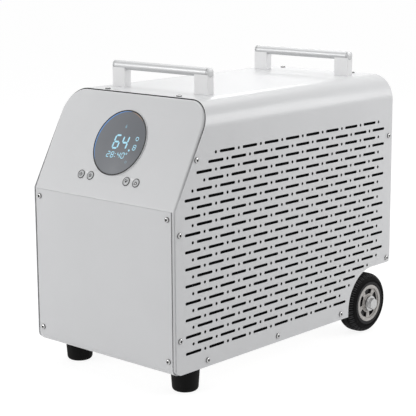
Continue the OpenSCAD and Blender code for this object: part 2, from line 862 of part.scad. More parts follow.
module display_bezel() {
  ring_h = ledge_t + lens_t;
  color(black) on_console() translate([0, display_up, 0]) rotate_extrude() polygon([
    [collar_r - bezel_wall, -board_deep], [collar_r, -board_deep], [collar_r, 0],
    [display_d / 2, 0], [display_d / 2, ring_h - 0.5], [display_d / 2 - 0.5, ring_h],
    [lens_r, ring_h], [lens_r, ledge_t], [collar_r - bezel_wall, ledge_t]]);
}

module display_lens() {
  color("#6f7478") on_console() translate([0, display_up, ledge_t])
    cylinder(r = lens_r - 0.1, h = lens_t);
}

// Lit number block behind the glass
module display_module() {
  color("#2c3238") on_console() translate([-32, display_up - 20, -board_deep])
    cube([64, 40, board_deep - 2]);
}

board_low = button_up - 12;
board_high = display_up + display_d / 2 - 8;
board_w = 2 * button_out + 40;
module console_board() {
  color("#1f5a3c") on_console() difference() {
    translate([-board_w / 2, board_low, -board_deep - board_t])
      cube([board_w, board_high - board_low, board_t]);
    for (sx = [-1, 1], y = [board_low + 6, board_high - 6])
      translate([sx * (board_w / 2 - 5), y, -board_deep])
        cylinder(r = 1.6, h = 10, center = true, $fn = 24);
  }
}

module console_standoffs() {
  color(zinc) on_console() for (sx = [-1, 1], y = [board_low + 6, board_high - 6])
    translate([sx * (board_w / 2 - 5), y, 0]) {
      translate([0, 0, -board_deep]) cylinder(r = 3, h = board_deep - sheet_t, $fn = 6);
      translate([0, 0, -board_deep - board_t - 2]) cylinder(r = 1.5, h = 4 + board_t, $fn = 24);
      translate([0, 0, -board_deep - board_t - 2]) cylinder(r = 2.8, h = 2, $fn = 24);
    }
}

button_xs = [-button_out, -button_in, button_in, button_out];
module button_bezels() {
  r = button_d / 2 + 0.1;
  color(steel) on_console() for (x = button_xs) translate([x, button_up, 0])
    rotate_extrude() polygon([[r, -cap_lip], [r, 0.8], [r + button_rim - 0.3, 0.8],
      [r + button_rim, 0.5], [r + button_rim, 0], [button_hole_r - 0.1, 0],
      [button_hole_r - 0.1, -cap_low], [r + 0.5, -cap_low], [r + 0.5, -cap_lip]]);
}

module button_switches() {
  color(black) on_console() for (x = button_xs)
    translate([x - 3, button_up - 3, -board_deep]) cube([6, 6, tact_h]);
}

// Domed cap with a retaining collar and a stem
module button_cap(x) {
  r = button_d / 2;
  dome = r * 2.4;
  color("#d5d8da") on_console() translate([x, button_up, 0]) rotate_extrude() {
    intersection() {
      translate([0, cap_proud - dome]) circle(dome);
      translate([0, -cap_lip - 2]) square([r, cap_proud + cap_lip + 2]);
    }
    translate([0, -cap_lip - 2.1]) square([r + 0.5, 2]);
    translate([0, -cap_low]) square([2, cap_low - cap_lip]);
  }
}
module power_button() button_cap(button_xs[0]);
module mode_button() button_cap(button_xs[1]);
module down_button() button_cap(button_xs[2]);
module up_button() button_cap(button_xs[3]);

// ---- Cooling parts ----

// Finned block with end plates and return bends
module condenser() {
  bend_r = bend_pitch / 4 - 1;
  color(black) in_body() translate([cond_x, cond_y, cond_z]) {
    cube([cond_t, cond_l, cond_h]);
    for (k = [0 : bend_count - 1], e = [0, 1])
      translate([cond_t / 2, e * cond_l, bend_low + (k + 0.5) * bend_pitch])
        rotate([0, 90, 0]) rotate([0, 0, e * 180]) rotate_extrude(angle = -180)
          translate([bend_r, 0]) circle(3.5, $fn = 24);
  }
}

// Plate and round duct between the fan and the condenser
module fan_shroud() {
  duct_r = fan_r + 4;
  color(steel) in_body() difference() {
    union() {
      translate([shroud_x, cond_y, cond_z]) cube([plenum_d + sheet_t, cond_l, cond_h]);
      translate([0, fan_y, fan_z]) x_rod(duct_r + sheet_t, shroud_x - duct_d, duct_d);
    }
    translate([shroud_x + sheet_t, cond_y + sheet_t, cond_z + sheet_t])
      cube([plenum_d + 1, cond_l - 2 * sheet_t, cond_h - 2 * sheet_t]);
    translate([0, fan_y, fan_z]) x_rod(duct_r, shroud_x - duct_d - 1, duct_d + plenum_d);
  }
}

module fan_motor() {
  color(black) in_body() translate([0, fan_y, fan_z]) difference() {
    union() {
      x_rod(motor_r, motor_x, motor_l - 8);
      x_rod(motor_r - 12, motor_x, motor_l);
    }
    x_rod(fan_shaft_r + run_clear, motor_x + 5, motor_l);
  }
}

// Upright strap that carries the motor, on two legs from the shroud
module fan_bracket() {
  color(zinc) in_body() {
    translate([strap_x, fan_y - strap_w / 2, fan_z - leg_up - 10])
      cube([strap_t, strap_w, 2 * leg_up + 20]);
    for (s = [-1, 1]) translate([0, fan_y, fan_z + s * leg_up])
      x_rod(5, motor_x, shroud_x - motor_x);
  }
}

// Pitched blades on a hub, with the shaft that turns in the motor
module fan_blade() {
  color("#d9dadb") in_body() translate([0, fan_y, fan_z]) {
    x_rod(28, hub_x, fan_w);
    x_rod(fan_shaft_r, motor_x + 6, hub_x - motor_x - 6);
    intersection() {
      difference() {
        x_rod(fan_r, hub_x, fan_w);
        x_rod(27, hub_x, fan_w);
      }
      for (k = [0 : fan_blades - 1]) rotate([k * 360 / fan_blades, 0, 0])
        translate([hub_x + fan_w / 2, 0, fan_r / 2 + 10]) rotate([0, 0, 18])
          cube([2.4, 60, fan_r + 10], center = true);
    }
  }
}

// Welded steel shell with a domed top on a foot plate
module compressor() {
  cap_h = 22;
  color(black) in_body() translate([comp_x, comp_y, comp_z]) difference() {
    union() {
      rotate_extrude() polygon([[0, 0], [comp_r - 8, 0], [comp_r, 10], [comp_r, comp_h - cap_h],
        [comp_r - 5, comp_h - 10], [comp_r - 20, comp_h - 2], [comp_r - 34, comp_h], [0, comp_h]]);
      translate([-comp_foot, -comp_foot, 0]) cube([2 * comp_foot, 2 * comp_foot, 3]);
    }
    for (sx = [-1, 1], sy = [-1, 1]) translate([sx * (comp_foot - 10), sy * (comp_foot - 10), 0])
      cylinder(r = 6, h = 30, center = true, $fn = 24);
  }
}

module compressor_grommets() {
  color(rubber) in_body() for (sx = [-1, 1], sy = [-1, 1])
    translate([comp_x + sx * (comp_foot - 10), comp_y + sy * (comp_foot - 10), pan_top])
      rotate_extrude() polygon([[0, 0], [9.5, 0], [9.5, comp_z - pan_top], [5.8, comp_z - pan_top],
        [5.8, comp_z - pan_top + 6], [0, comp_z - pan_top + 6]]);
}

// Small pressure bottle strapped to the side of the compressor
module suction_accumulator() {
  color(black) in_body() translate([acc_x, comp_y, acc_z]) {
    rotate_extrude() polygon([[0, 0], [acc_r - 8, 0], [acc_r, 10], [acc_r, acc_h - 10],
      [acc_r - 8, acc_h], [0, acc_h]]);
    translate([-acc_r - 5.8, -8, acc_h / 2]) cube([10, 16, 14]);
  }
}

// Slide valve that swaps heating and cooling
module reversing_valve() {
  color("#a9764a") in_body() translate([comp_x, comp_y, valve_z]) {
    x_rod(valve_r, -valve_l / 2, valve_l);
    translate([0, 0, -valve_r - 8]) cylinder(r = pipe_r + 1, h = 12, $fn = 32);
    for (k = [-1, 0, 1]) translate([k * valve_step, 0, valve_r - 4])
      cylinder(r = pipe_r + 1, h = 12, $fn = 32);
  }
}

module filter_drier() {
  color(copper) in_body() translate([drier_x, pipe_y, liquid_z]) rotate([0, 90, 0])
    rotate_extrude() polygon([[0, -drier_l / 2], [pipe_r, -drier_l / 2], [drier_r, -drier_l / 2 + 10],
      [drier_r, drier_l / 2 - 10], [pipe_r, drier_l / 2], [0, drier_l / 2]]);
}

// Copper lines between compressor, valve, condenser and tank
module refrigerant_pipes() {
  bend = 3 * pipe_r;
  port_x = cond_x + cond_t / 2;
  top_of = valve_z + valve_r + 8;
  cond_end = cond_y + cond_l;
  color(copper) in_body() {
    translate([comp_x, comp_y, comp_z + comp_h])
      cylinder(r = pipe_r, h = valve_z - valve_r - 8 - comp_z - comp_h, $fn = 32);
    tube_run([[comp_x + valve_step, comp_y, top_of], [comp_x + valve_step, comp_y, hot_z],
      [comp_x + valve_step, pipe_y, hot_z], [port_x, pipe_y, hot_z], [port_x, cond_end, hot_z]],
      pipe_r, bend / 2);
    tube_run([[comp_x - valve_step, comp_y, top_of], [comp_x - valve_step, comp_y, hot_z],
      [comp_x - valve_step, tank_y, hot_z],
      [comp_x - valve_step, tank_y, pan_top + tank_h + tank_lip]], pipe_r, bend / 2);
    tube_run([[comp_x, comp_y, top_of], [comp_x, comp_y, suction_z], [acc_x, comp_y, suction_z],
      [acc_x, comp_y, acc_z + acc_h]], pipe_r, bend);
    tube_run([[port_x, cond_end, liquid_z], [port_x, pipe_y, liquid_z],
      [drier_x + drier_l / 2, pipe_y, liquid_z]], pipe_r, bend / 2);
  }
}

// Upright tank with the refrigerant coil in the water
module heat_exchanger() {
  color("#3a3d40") in_body() translate([tank_x, tank_y, pan_top]) {
    rotate_extrude() polygon([[0, 0], [tank_r, 0], [tank_r + tank_lip, 2], [tank_r + tank_lip, 10],
      [tank_r, 12], [tank_r, tank_h - 12], [tank_r + tank_lip, tank_h - 10],
      [tank_r + tank_lip, tank_h - 2], [tank_r, tank_h], [20, tank_h + tank_lip],
      [0, tank_h + tank_lip]]);
    translate([0, 0, link_z - pan_top]) rotate([90, 0, 0])
      cylinder(r = hose_r - 2, h = tank_r + tank_port, $fn = 32);
    translate([0, 0, tank_side_z - pan_top]) x_rod(hose_r - 2, 0, tank_r + tank_port);
  }
}

// Centrifugal pump with its motor in front
module circulation_pump() {
  color("#2b3a4a") in_body() translate([pump_x, filter_y, pump_z]) {
    along_y(-volute_t / 2, volute_t) circle(volute_r);
    along_y(-volute_t / 2 - pump_motor_l, pump_motor_l) circle(pump_motor_r);
    along_y(volute_t / 2, spigot_l) circle(hose_r - 2, $fn = 32);
    cylinder(r = hose_r - 2, h = volute_r + spigot_l, $fn = 32);
    translate([-30, -volute_t / 2 - pump_motor_l + 4, pan_top - pump_z])
      cube([60, pump_motor_l + volute_t - 8, 5]);
    for (sx = [-1, 1]) translate([sx * 18 - 4, -volute_t / 2 - pump_motor_l + 8, pan_top - pump_z])
      cube([8, pump_motor_l + volute_t - 16, pump_z - pan_top - pump_motor_r + 12]);
  }
}

// Clear-water filter: bowl with ribs and a screwed head
module water_filter() {
  color("#3f6f9e") in_body() translate([filter_x, filter_y, pan_top]) {
    rotate_extrude() polygon([[0, 0], [filter_r - 12, 0], [filter_r - 6, 8], [filter_r - 3, filter_h],
      [0, filter_h]]);
    translate([0, 0, filter_h]) cylinder(r = filter_r, h = head_h);
    translate([0, 0, filter_h + head_h / 2]) x_rod(hose_r - 2, 0, filter_r + spigot_l);
    translate([tank_x - filter_x, 0, filter_h + head_h / 2]) along_y(0, filter_r + filter_port)
      circle(hose_r - 2, $fn = 32);
  }
}

// Rubber hoses of the water circuit
module water_hoses() {
  bend = 1.5 * hose_r;
  rear = body_d - sheet_t - tail_l;
  color(rubber) in_body() {
    tube_run([[pump_x, rear, port_zs[1]], [pump_x, hose_low_y, port_zs[1]],
      [pump_x, hose_low_y, pump_z], [pump_x, filter_y + volute_t / 2 + spigot_l, pump_z]],
      hose_r, bend);
    tube_run([[pump_x, filter_y, pump_z + volute_r + spigot_l], [pump_x, filter_y, head_z],
      [filter_x + filter_r + spigot_l, filter_y, head_z]], hose_r, bend);
    tube_run([[tank_x, filter_y + filter_r + filter_port, link_z],
      [tank_x, tank_y - tank_r - tank_port, link_z]], hose_r, bend);
    tube_run([[tank_x + tank_r + tank_port, tank_y, tank_side_z], [port_xs[0], tank_y, tank_side_z],
      [port_xs[0], hose_low_y, tank_side_z], [port_xs[0], hose_low_y, port_zs[0]],
      [port_xs[0], rear, port_zs[0]]], hose_r, bend);
  }
}

// ---- Rear fittings ----

// Threaded water ports with a hexagonal shoulder
module water_ports() {
  color(steel) on_rear() for (k = [0, 1]) translate([-port_xs[k], port_zs[k], 0]) difference() {
    union() {
      translate([0, 0, -sheet_t - tail_l]) cylinder(d = port_d, h = tail_l + sheet_t + port_reach);
      cylinder(d = 36, h = 6, $fn = 6);
    }
    translate([0, 0, -sheet_t - tail_l - 1]) cylinder(d = port_bore, h = tail_l + port_reach + 9);
  }
}

module port_nuts() {
  color(steel) on_rear() for (k = [0, 1]) translate([-port_xs[k], port_zs[k], -sheet_t - 6])
    difference() {
      cylinder(d = 38, h = 6, $fn = 6);
      translate([0, 0, -1]) cylinder(d = port_d + 0.2, h = 8);
    }
}

// Three-pin appliance inlet, open at the back
module power_inlet() {
  color(black) on_rear() translate([-inlet_x, inlet_z, 0]) {
    difference() {
      union() {
        translate([-inlet_w / 2 - 2, -inlet_h / 2 - 2, -inlet_deep]) cube([inlet_w + 4, inlet_h + 4,
          inlet_deep]);
        translate([-25, -15, 0]) cube([50, 30, 3]);
      }
      translate([-inlet_w / 2, -inlet_h / 2, -inlet_deep + 3]) cube([inlet_w, inlet_h, inlet_deep]);
    }
    for (p = [[-7, -2], [0, 2], [7, -2]]) translate([p.x - 1, p.y - 2, -inlet_deep + 2])
      cube([2, 4, 16]);
  }
}

rocker_wall = 2;
rocker_r = 9;
module rocker_switch_body() {
  color(black) on_rear() translate([-switch_x, inlet_z, 0]) difference() {
    union() {
      translate([-switch_w / 2, -switch_h / 2, -20]) cube([switch_w, switch_h, 20]);
      translate([-switch_w / 2 - 2, -switch_h / 2 - 2, 0]) cube([switch_w + 4, switch_h + 4, 2]);
    }
    translate([-switch_w / 2 + rocker_wall, -switch_h / 2 + rocker_wall, -12])
      cube([switch_w - 2 * rocker_wall, switch_h - 2 * rocker_wall, 20]);
    translate([0, 0, -4]) rotate([90, 0, 0])
      cylinder(r = 1.5 + run_clear, h = switch_h - 1, center = true, $fn = 32);
  }
}

// Tilting key on its two trunnions
module rocker_switch_key() {
  l = switch_w - 2 * rocker_wall;
  w = switch_h - 2 * rocker_wall - 0.6;
  color(black) on_rear() translate([-switch_x, inlet_z, -4]) rotate([90, 0, 0])
    rotate([0, 0, rocker_tilt]) {
    linear_extrude(w, center = true) difference() {
      intersection() {
        circle(rocker_r * 0.86);
        translate([-l / 2 + 1.2, -3]) square([l - 2.4, 12]);
      }
      translate([0, 20.5]) circle(14.5);
    }
    cylinder(r = 1.5, h = switch_h - 1.2, center = true, $fn = 32);
  }
}

// Closed box of relays and terminals on the inside of the rear panel
module control_box() {
  color(steel) in_body() translate([box_x - box_w / 2, body_d - sheet_t - box_d, box_z]) {
    cube([box_w, box_d, box_h]);
    translate([10, -1.5, 10]) cube([box_w - 20, 1.5, box_h - 20]);
  }
}

base_pan();
front_frame();
front_cover();
top_shell();
side_grille_right();
side_grille_left();
rear_panel();
case_screws();
dust_screen_right();
dust_screen_left();
front_handle_rod();
front_handle_posts();
rear_handle_rod();
rear_handle_posts();
handle_screws();
foot_left();
foot_right();
foot_screws();
axle_brackets();
axle_rod();
axle_spacers();
axle_end_bolts();
wheel_hub_left();
wheel_tyre_left();
wheel_bush_left();
wheel_hub_right();
wheel_tyre_right();
wheel_bush_right();
display_bezel();
display_lens();
display_module();
console_board();
console_standoffs();
button_bezels();
button_switches();
power_button();
mode_button();
down_button();
up_button();
condenser();
fan_shroud();
fan_motor();
fan_bracket();
fan_blade();
compressor();
compressor_grommets();
suction_accumulator();
reversing_valve();
filter_drier();
refrigerant_pipes();
heat_exchanger();
circulation_pump();
water_filter();
water_hoses();
water_ports();
port_nuts();
power_inlet();
rocker_switch_body();
rocker_switch_key();
control_box();
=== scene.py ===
"""Looks of a hot cold therapy machine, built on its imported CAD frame.

Every length is in metres, in the frame's own axes: X across, Y from front to rear, Z up.
"""

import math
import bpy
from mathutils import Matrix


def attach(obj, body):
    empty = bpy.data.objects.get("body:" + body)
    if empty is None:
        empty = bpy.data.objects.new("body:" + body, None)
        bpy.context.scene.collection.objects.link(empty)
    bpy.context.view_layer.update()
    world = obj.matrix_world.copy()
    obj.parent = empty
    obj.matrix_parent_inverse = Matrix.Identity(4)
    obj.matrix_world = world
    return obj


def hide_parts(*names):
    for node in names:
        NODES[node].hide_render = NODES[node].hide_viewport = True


bl_info = {
    "name": "Hot cold therapy machine",
    "version": (1, 0, 0),
    "blender": (4, 5, 0),
    "location": "3D View > Sidebar > Machine",
    "description": "Builds the looks of a wheeled water chiller and heater on its CAD frame",
    "category": "Object",
}

import bmesh
import bpy
from mathutils import Matrix, Vector
from mathutils.geometry import tessellate_polygon

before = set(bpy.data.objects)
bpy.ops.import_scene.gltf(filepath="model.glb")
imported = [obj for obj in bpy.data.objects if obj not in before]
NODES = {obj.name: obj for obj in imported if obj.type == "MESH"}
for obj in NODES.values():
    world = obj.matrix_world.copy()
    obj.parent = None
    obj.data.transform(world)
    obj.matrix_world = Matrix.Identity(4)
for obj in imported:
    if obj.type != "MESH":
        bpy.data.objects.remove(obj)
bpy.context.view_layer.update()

MM = 0.001
TINY = 1e-6
JOIN = 0.00001


# ---- Sizes ----


def number(name, description, default, **more):
    """A property that holds a number."""
    return bpy.props.FloatProperty(name=name, description=description, default=default, **more)


def whole(name, description, default):
    """A property that holds a whole number."""
    return bpy.props.IntProperty(name=name, description=description, default=default, min=1)


def length(name, description, default):
    """A property that holds a length in metres."""
    return number(name, description, default, unit="LENGTH")


def paint(name, description, default):
    """A property that holds a colour."""
    return bpy.props.FloatVectorProperty(
        name=name, description=description, default=default, subtype="COLOR", min=0.0, max=1.0
    )


class CasingSizes(bpy.types.PropertyGroup):
    """Sizes of the sheet-metal casing."""

    width: length("Width", "Width across the side panels", 0.300)
    depth: length("Depth", "Depth from front panel to rear panel", 0.525)
    height: length("Height", "Height of the casing itself", 0.390)
    clearance: length("Clearance", "Clear height under the casing", 0.040)
    front: length("Front", "Place of the front panel in depth", -0.27545)
    bend: length("Top bend", "Outer radius of the long top bends", 0.040)
    sheet: length("Sheet", "Thickness of the painted sheet", 0.0012)
    skin: length("Skin", "Sheet seen at the shell's holes and edges", 0.0008)
    reveal: length("Reveal", "How far the shell's edge lies behind the console", 0.0030)
    low_reveal: length("Low reveal", "How far the shell's edge lies behind the front panel", 0.0002)
    cover: length("Cover", "Thickness of the front cover with its seal", 0.0016)
    cover_width: length("Cover width", "Width of the front cover", 0.286)
    cover_top: length("Cover top", "Height of the cover's upper edge", 0.240)
    tuck: length("Tuck", "How far the front sheet lies inside the shell", 0.0019)
    slant: number("Slant", "Lean of the console", math.radians(27.5), subtype="ANGLE")
    kink: length("Kink", "Height of the bend below the console", 0.241)
    toe: length("Toe", "Radius of the front foot bend", 0.010)
    heel: length("Heel", "Radius of the lower rear corner", 0.008)
    fold: length("Fold", "Outer radius of the front sheet's folds", 0.003)


class PatternSizes(bpy.types.PropertyGroup):
    """Sizes of the slots and dots in the sides, in millimetres."""

    rows: whole("Rows", "Number of rows", 24)
    places: whole("Places", "Hole places along a row", 19)
    row_pitch: number("Row pitch", "Distance between rows", 12.5)
    place_pitch: number("Place pitch", "Distance between places along a row", 25.0)
    top: number("First row", "Height of the first row above the underside", 316.5)
    rear: number("First place", "Depth of the rear place of each row", 486.0)
    slot_length: number("Slot length", "Length of a slot", 33.0)
    slot_width: number("Slot width", "Width of a slot", 4.3)
    dot: number("Dot", "Diameter of a dot", 4.8)
    front_margin: number("Front margin", "Least distance of a hole from the front edge", 10.0)
    arch_margin: number("Arch margin", "Least distance of a hole from the wheel arch", 5.5)
    screw_margin: number("Screw margin", "Least distance of a dot from the upper screw", 19.0)


# ---- Small helpers for meshes ----


def body_point(x, y, z):
    """Place of a point given in millimetres from the casing's front foot edge."""
    s = bpy.context.scene.casing
    return Vector((x * MM, s.front + y * MM, s.clearance + z * MM))


def console_point(x, up, out):
    """Place of a point on the console: x across, up the slope and out of it, in millimetres."""
    s = bpy.context.scene.casing
    c, n = math.cos(s.slant), math.sin(s.slant)
    return Vector(
        (x * MM, s.front + (up * n - out * c) * MM, s.clearance + s.kink + (up * c + out * n) * MM)
    )


def rear_point(x, z, out):
    """Place of a point on the rear panel: x and z as in the casing, out behind it."""
    s = bpy.context.scene.casing
    return Vector((x * MM, s.front + s.depth + out * MM, s.clearance + z * MM))


def console_frame(x, up):
    """Axes on the console: across, up the slope and out of it, with lengths in millimetres."""
    s = bpy.context.scene.casing
    c, n = math.cos(s.slant), math.sin(s.slant)
    turn = Matrix(((1.0, 0.0, 0.0), (0.0, n, -c), (0.0, c, n))).to_4x4()
    return Matrix.Translation(console_point(x, up, 0.0)) @ turn @ Matrix.Scale(MM, 4)


def side_frame(x):
    """Axes that look along X: depth, up and across, with lengths in millimetres."""
    turn = Matrix(((0.0, 0.0, 1.0), (1.0, 0.0, 0.0), (0.0, 1.0, 0.0))).to_4x4()
    return Matrix.Translation(body_point(x, 0.0, 0.0)) @ turn @ Matrix.Scale(MM, 4)


def turned(profile, count, place):
    """Closed body of revolution about the place's Z axis from radius and height pairs."""
    points, faces, rings = [], [], []
    for radius, height in profile:
        if radius < TINY:
            rings.append([len(points)] * count)
            points.append(place @ Vector((0.0, 0.0, height)))
            continue
        rings.append(list(range(len(points), len(points) + count)))
        for k in range(count):
            a = 2.0 * math.pi * k / count
            points.append(place @ Vector((radius * math.cos(a), radius * math.sin(a), height)))
    closed = profile[0][0] > TINY and profile[-1][0] > TINY
    pairs = list(zip(rings, rings[1:])) + ([(rings[-1], rings[0])] if closed else [])
    for a, b in pairs:
        for k in range(count):
            n = (k + 1) % count
            face = [a[k], a[n], b[n], b[k]]
            face = [v for i, v in enumerate(face) if v not in face[:i]]
            faces.append(face)
    return points, faces


def gather(parts):
    """Joins several lots of points and faces into one."""
    points, faces = [], []
    for more_points, more_faces in parts:
        faces += [[len(points) + i for i in face] for face in more_faces]
        points += list(more_points)
    return points, faces


def close_up(piece, distance=0.000002):
    """Merges doubles and turns the faces of closed shells outward."""
    shape = bmesh.new()
    shape.from_mesh(piece.data)
    if distance:
        bmesh.ops.remove_doubles(shape, verts=shape.verts, dist=distance)
    bmesh.ops.recalc_face_normals(shape, faces=shape.faces)
    shape.to_mesh(piece.data)
    shape.free()
    return piece


def slab(loop, low, high, place):
    """Flat plate between two heights over a loop of points, as points and faces."""
    count = len(loop)
    points = [place @ Vector((x, y, low)) for x, y in loop]
    points += [place @ Vector((x, y, high)) for x, y in loop]
    caps = tessellate_polygon([[Vector((x, y, 0.0)) for x, y in loop]])
    faces = [list(face) for face in caps] + [[count + i for i in face] for face in caps]
    for k in range(count):
        n = (k + 1) % count
        faces.append([k, n, count + n, count + k])
    return points, faces


def new_piece(name, verts, faces, material, smooth=True):
    """Makes a mesh object from points and faces."""
    mesh = bpy.data.meshes.new(name)
    mesh.from_pydata([tuple(v) for v in verts], [], faces)
    mesh.update()
    piece = bpy.data.objects.new(name, mesh)
    bpy.context.scene.collection.objects.link(piece)
    if material:
        mesh.materials.append(material)
    if smooth:
        mesh.polygons.foreach_set("use_smooth", [True] * len(mesh.polygons))
    return piece


def add_modifier(piece, kind, **settings):
    """Adds one modifier with its settings."""
    modifier = piece.modifiers.new(kind.title(), kind)
    for key, value in settings.items():
        setattr(modifier, key, value)


def bevel(piece, width, segments=2, angle=40.0):
    """Rounds edges sharper than an angle in degrees by a width in millimetres."""
    limit = {"limit_method": "ANGLE", "angle_limit": math.radians(angle)}
    add_modifier(piece, "BEVEL", width=width * MM, segments=segments, **limit)


def even_normals(piece):
    """Shades large faces flat and the small ones between them round."""
    add_modifier(piece, "WEIGHTED_NORMAL", keep_sharp=True, weight=50)


def split(piece, angle):
    """Keeps edges sharper than an angle in degrees crisp."""
    add_modifier(piece, "EDGE_SPLIT", split_angle=math.radians(angle))


def thicken(piece, thickness, even=False):
    """Joins the faces of a sheet and thickens it inward."""
    add_modifier(piece, "WELD", merge_threshold=0.000004)
    inward = {"offset": -1.0, "use_even_offset": even, "use_quality_normals": True}
    add_modifier(piece, "SOLIDIFY", thickness=thickness, **inward)


def mark(piece, attribute, values):
    """Stores one number on every point of a piece."""
    layer = piece.data.attributes.new(attribute, "FLOAT", "POINT")
    layer.data.foreach_set("value", values)


def bake(piece):
    """Turns a piece with its modifiers into one plain mesh, and drops the modifiers."""
    depsgraph = bpy.context.evaluated_depsgraph_get()
    mesh = bpy.data.meshes.new_from_object(piece.evaluated_get(depsgraph), depsgraph=depsgraph)
    old = piece.data
    piece.modifiers.clear()
    piece.data = mesh
    mesh.name = piece.name
    if old.users == 0:
        bpy.data.meshes.remove(old)
    return piece


def finish_piece(piece, body, slot, *replaced):
    """Hands a finished piece to the frame."""
    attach(piece, body)
    if replaced:
        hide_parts(*replaced)


def make_piece(name, parts, finish, body, slot, *replaced, crisp=0.0):
    """Makes a piece of several parts. Its edges over crisp degrees stay crisp, or else all do."""
    points, faces = gather(parts)
    piece = close_up(new_piece(name, points, faces, FINISHES[finish], smooth=crisp > 0.0))
    if crisp:
        split(piece, crisp)
        bake(piece)
    finish_piece(piece, body, slot, *replaced)


# ---- Node trees ----


class Tree:
    """Adds nodes to a tree and links them."""

    def __init__(self, tree):
        self.tree = tree

    def add(self, kind, inputs=None, **settings):
        node = self.tree.nodes.new(kind)
        for key, value in settings.items():
            setattr(node, key, value)
        for key, value in (inputs or {}).items():
            self.put(node.inputs[key], value)
        return node

    def put(self, socket, value):
        if isinstance(value, bpy.types.NodeSocket):
            self.tree.links.new(value, socket)
        else:
            socket.default_value = value

    def math(self, operation, a, b=0.0):
        return self.add("ShaderNodeMath", {0: a, 1: b}, operation=operation).outputs[0]

    def plus(self, a, b):
        return self.math("ADD", a, b)

    def minus(self, a, b):
        return self.math("SUBTRACT", a, b)

    def times(self, a, b):
        return self.math("MULTIPLY", a, b)

    def end(self, geometry, material, result):
        """Ends a geometry tree: real geometry with its material."""
        real = self.add("GeometryNodeRealizeInstances", {"Geometry": geometry}).outputs[0]
        painted = self.add("GeometryNodeSetMaterial", {"Geometry": real, "Material": material})
        self.add("NodeGroupOutput", {result: painted.outputs[0]})


def new_group(name, kinds, result):
    """Starts a geometry node group: returns it, its tree and what it is given."""
    group = bpy.data.node_groups.new(name, "GeometryNodeTree")
    for socket, kind in kinds:
        group.interface.new_socket(socket, in_out="INPUT", socket_type="NodeSocket" + kind)
    group.interface.new_socket(result, in_out="OUTPUT", socket_type="NodeSocketGeometry")
    tree = Tree(group)
    return group, tree, tree.add("NodeGroupInput").outputs


def set_inputs(modifier, values):
    """Sets a node modifier's inputs by the identifiers of their sockets."""
    ids = {
        item.name: item.identifier
        for item in modifier.node_group.interface.items_tree
        if item.item_type == "SOCKET" and item.in_out == "INPUT"
    }
    for name, value in values.items():
        modifier[ids[name]] = value


# ---- Finishes ----

FINISHES = {}


def new_material(name):
    """Starts an empty material: returns it and its tree."""
    material = bpy.data.materials.new(name)
    material.use_nodes = True
    material.node_tree.nodes.clear()
    return material, Tree(material.node_tree)


def new_finish(name, **sockets):
    """Starts a finish: returns its tree, its shader and the piece's own coordinates."""
    FINISHES[name], tree = new_material(name)
    shader = tree.add("ShaderNodeBsdfPrincipled")
    for key, value in sockets.items():
        shader.inputs[key.replace("_", " ")].default_value = value
    tree.add("ShaderNodeOutputMaterial", {"Surface": shader.outputs["BSDF"]})
    return tree, shader, tree.add("ShaderNodeTexCoord").outputs["Object"]


def shade(colour, factor):
    """A colour made lighter or darker."""
    return tuple(min(1.0, c * factor) for c in colour[:3]) + (1.0,)


def noise(tree, place, scale, detail=2.0, rough=0.5, stretch=None):
    """Noise of a size given as cells per metre."""
    if stretch:
        mapping = tree.add("ShaderNodeMapping", {"Vector": place, "Scale": stretch})
        place = mapping.outputs["Vector"]
    node = tree.add(
        "ShaderNodeTexNoise",
        {"Vector": place, "Scale": scale, "Detail": detail, "Roughness": rough},
    )
    return node.outputs["Fac"]


def tint(tree, factor, low, high, start=0.35, end=0.65):
    """Colours from one to the other as a factor goes from start to end."""
    ramp = tree.add("ShaderNodeValToRGB", {"Fac": factor})
    ramp.color_ramp.elements[0].position = start
    ramp.color_ramp.elements[0].color = low
    ramp.color_ramp.elements[1].position = end
    ramp.color_ramp.elements[1].color = high
    return ramp.outputs["Color"]


def spread(tree, factor, low, high):
    """A number from low to high as a factor goes from 0.3 to 0.7."""
    node = tree.add(
        "ShaderNodeMapRange",
        {"Value": factor, "From Min": 0.3, "From Max": 0.7, "To Min": low, "To Max": high},
    )
    return node.outputs["Result"]


def bands(tree, place, axis, **more):
    """Soft stripes, one after the other along an axis."""
    inputs = {"Vector": place, **more}
    return tree.add("ShaderNodeTexWave", inputs, wave_type="BANDS", bands_direction=axis).outputs["Fac"]


def cells(tree, place, scale, output="Distance"):
    """Cells of a size given as cells per metre."""
    return tree.add("ShaderNodeTexVoronoi", {"Vector": place, "Scale": scale}).outputs[output]


def coat(tree, shader, colours, rough):
    """Gives a shader its colour and its roughness."""
    tree.put(shader.inputs["Base Color"], colours)
    tree.put(shader.inputs["Roughness"], rough)


def bump(tree, shader, height, depth, strength=1.0):
    """Raises the surface by depth millimetres where height is 1."""
    node = tree.add("ShaderNodeBump", {"Height": height, "Distance": depth * MM, "Strength": strength})
    tree.put(shader.inputs["Normal"], node.outputs["Normal"])


def plain_finish(name, colour, rough, mottle=0.04, patch=25.0, grain=900.0, depth=0.01, **sockets):
    """A finish with faint patches in its colour and gloss and a fine grain."""
    tree, shader, place = new_finish(name, **sockets)
    patches = noise(tree, place, patch, 4.0, 0.6)
    colours = tint(tree, patches, shade(colour, 1.0 - mottle), shade(colour, 1.0 + mottle))
    coat(tree, shader, colours, spread(tree, patches, rough * 0.88, min(1.0, rough * 1.12)))
    bump(tree, shader, noise(tree, place, grain, 3.0), depth)
    return tree, shader, place


def make_powder_coat(name, colour, rough):
    """Powder coat: even colour, satin gloss and the shallow waves of orange peel."""
    gloss = {"Specular_IOR_Level": 0.5, "Coat_Weight": 0.25, "Coat_Roughness": 0.18}
    plain_finish(name, colour, rough, 0.012, 9.0, 520.0, 0.006, **gloss)


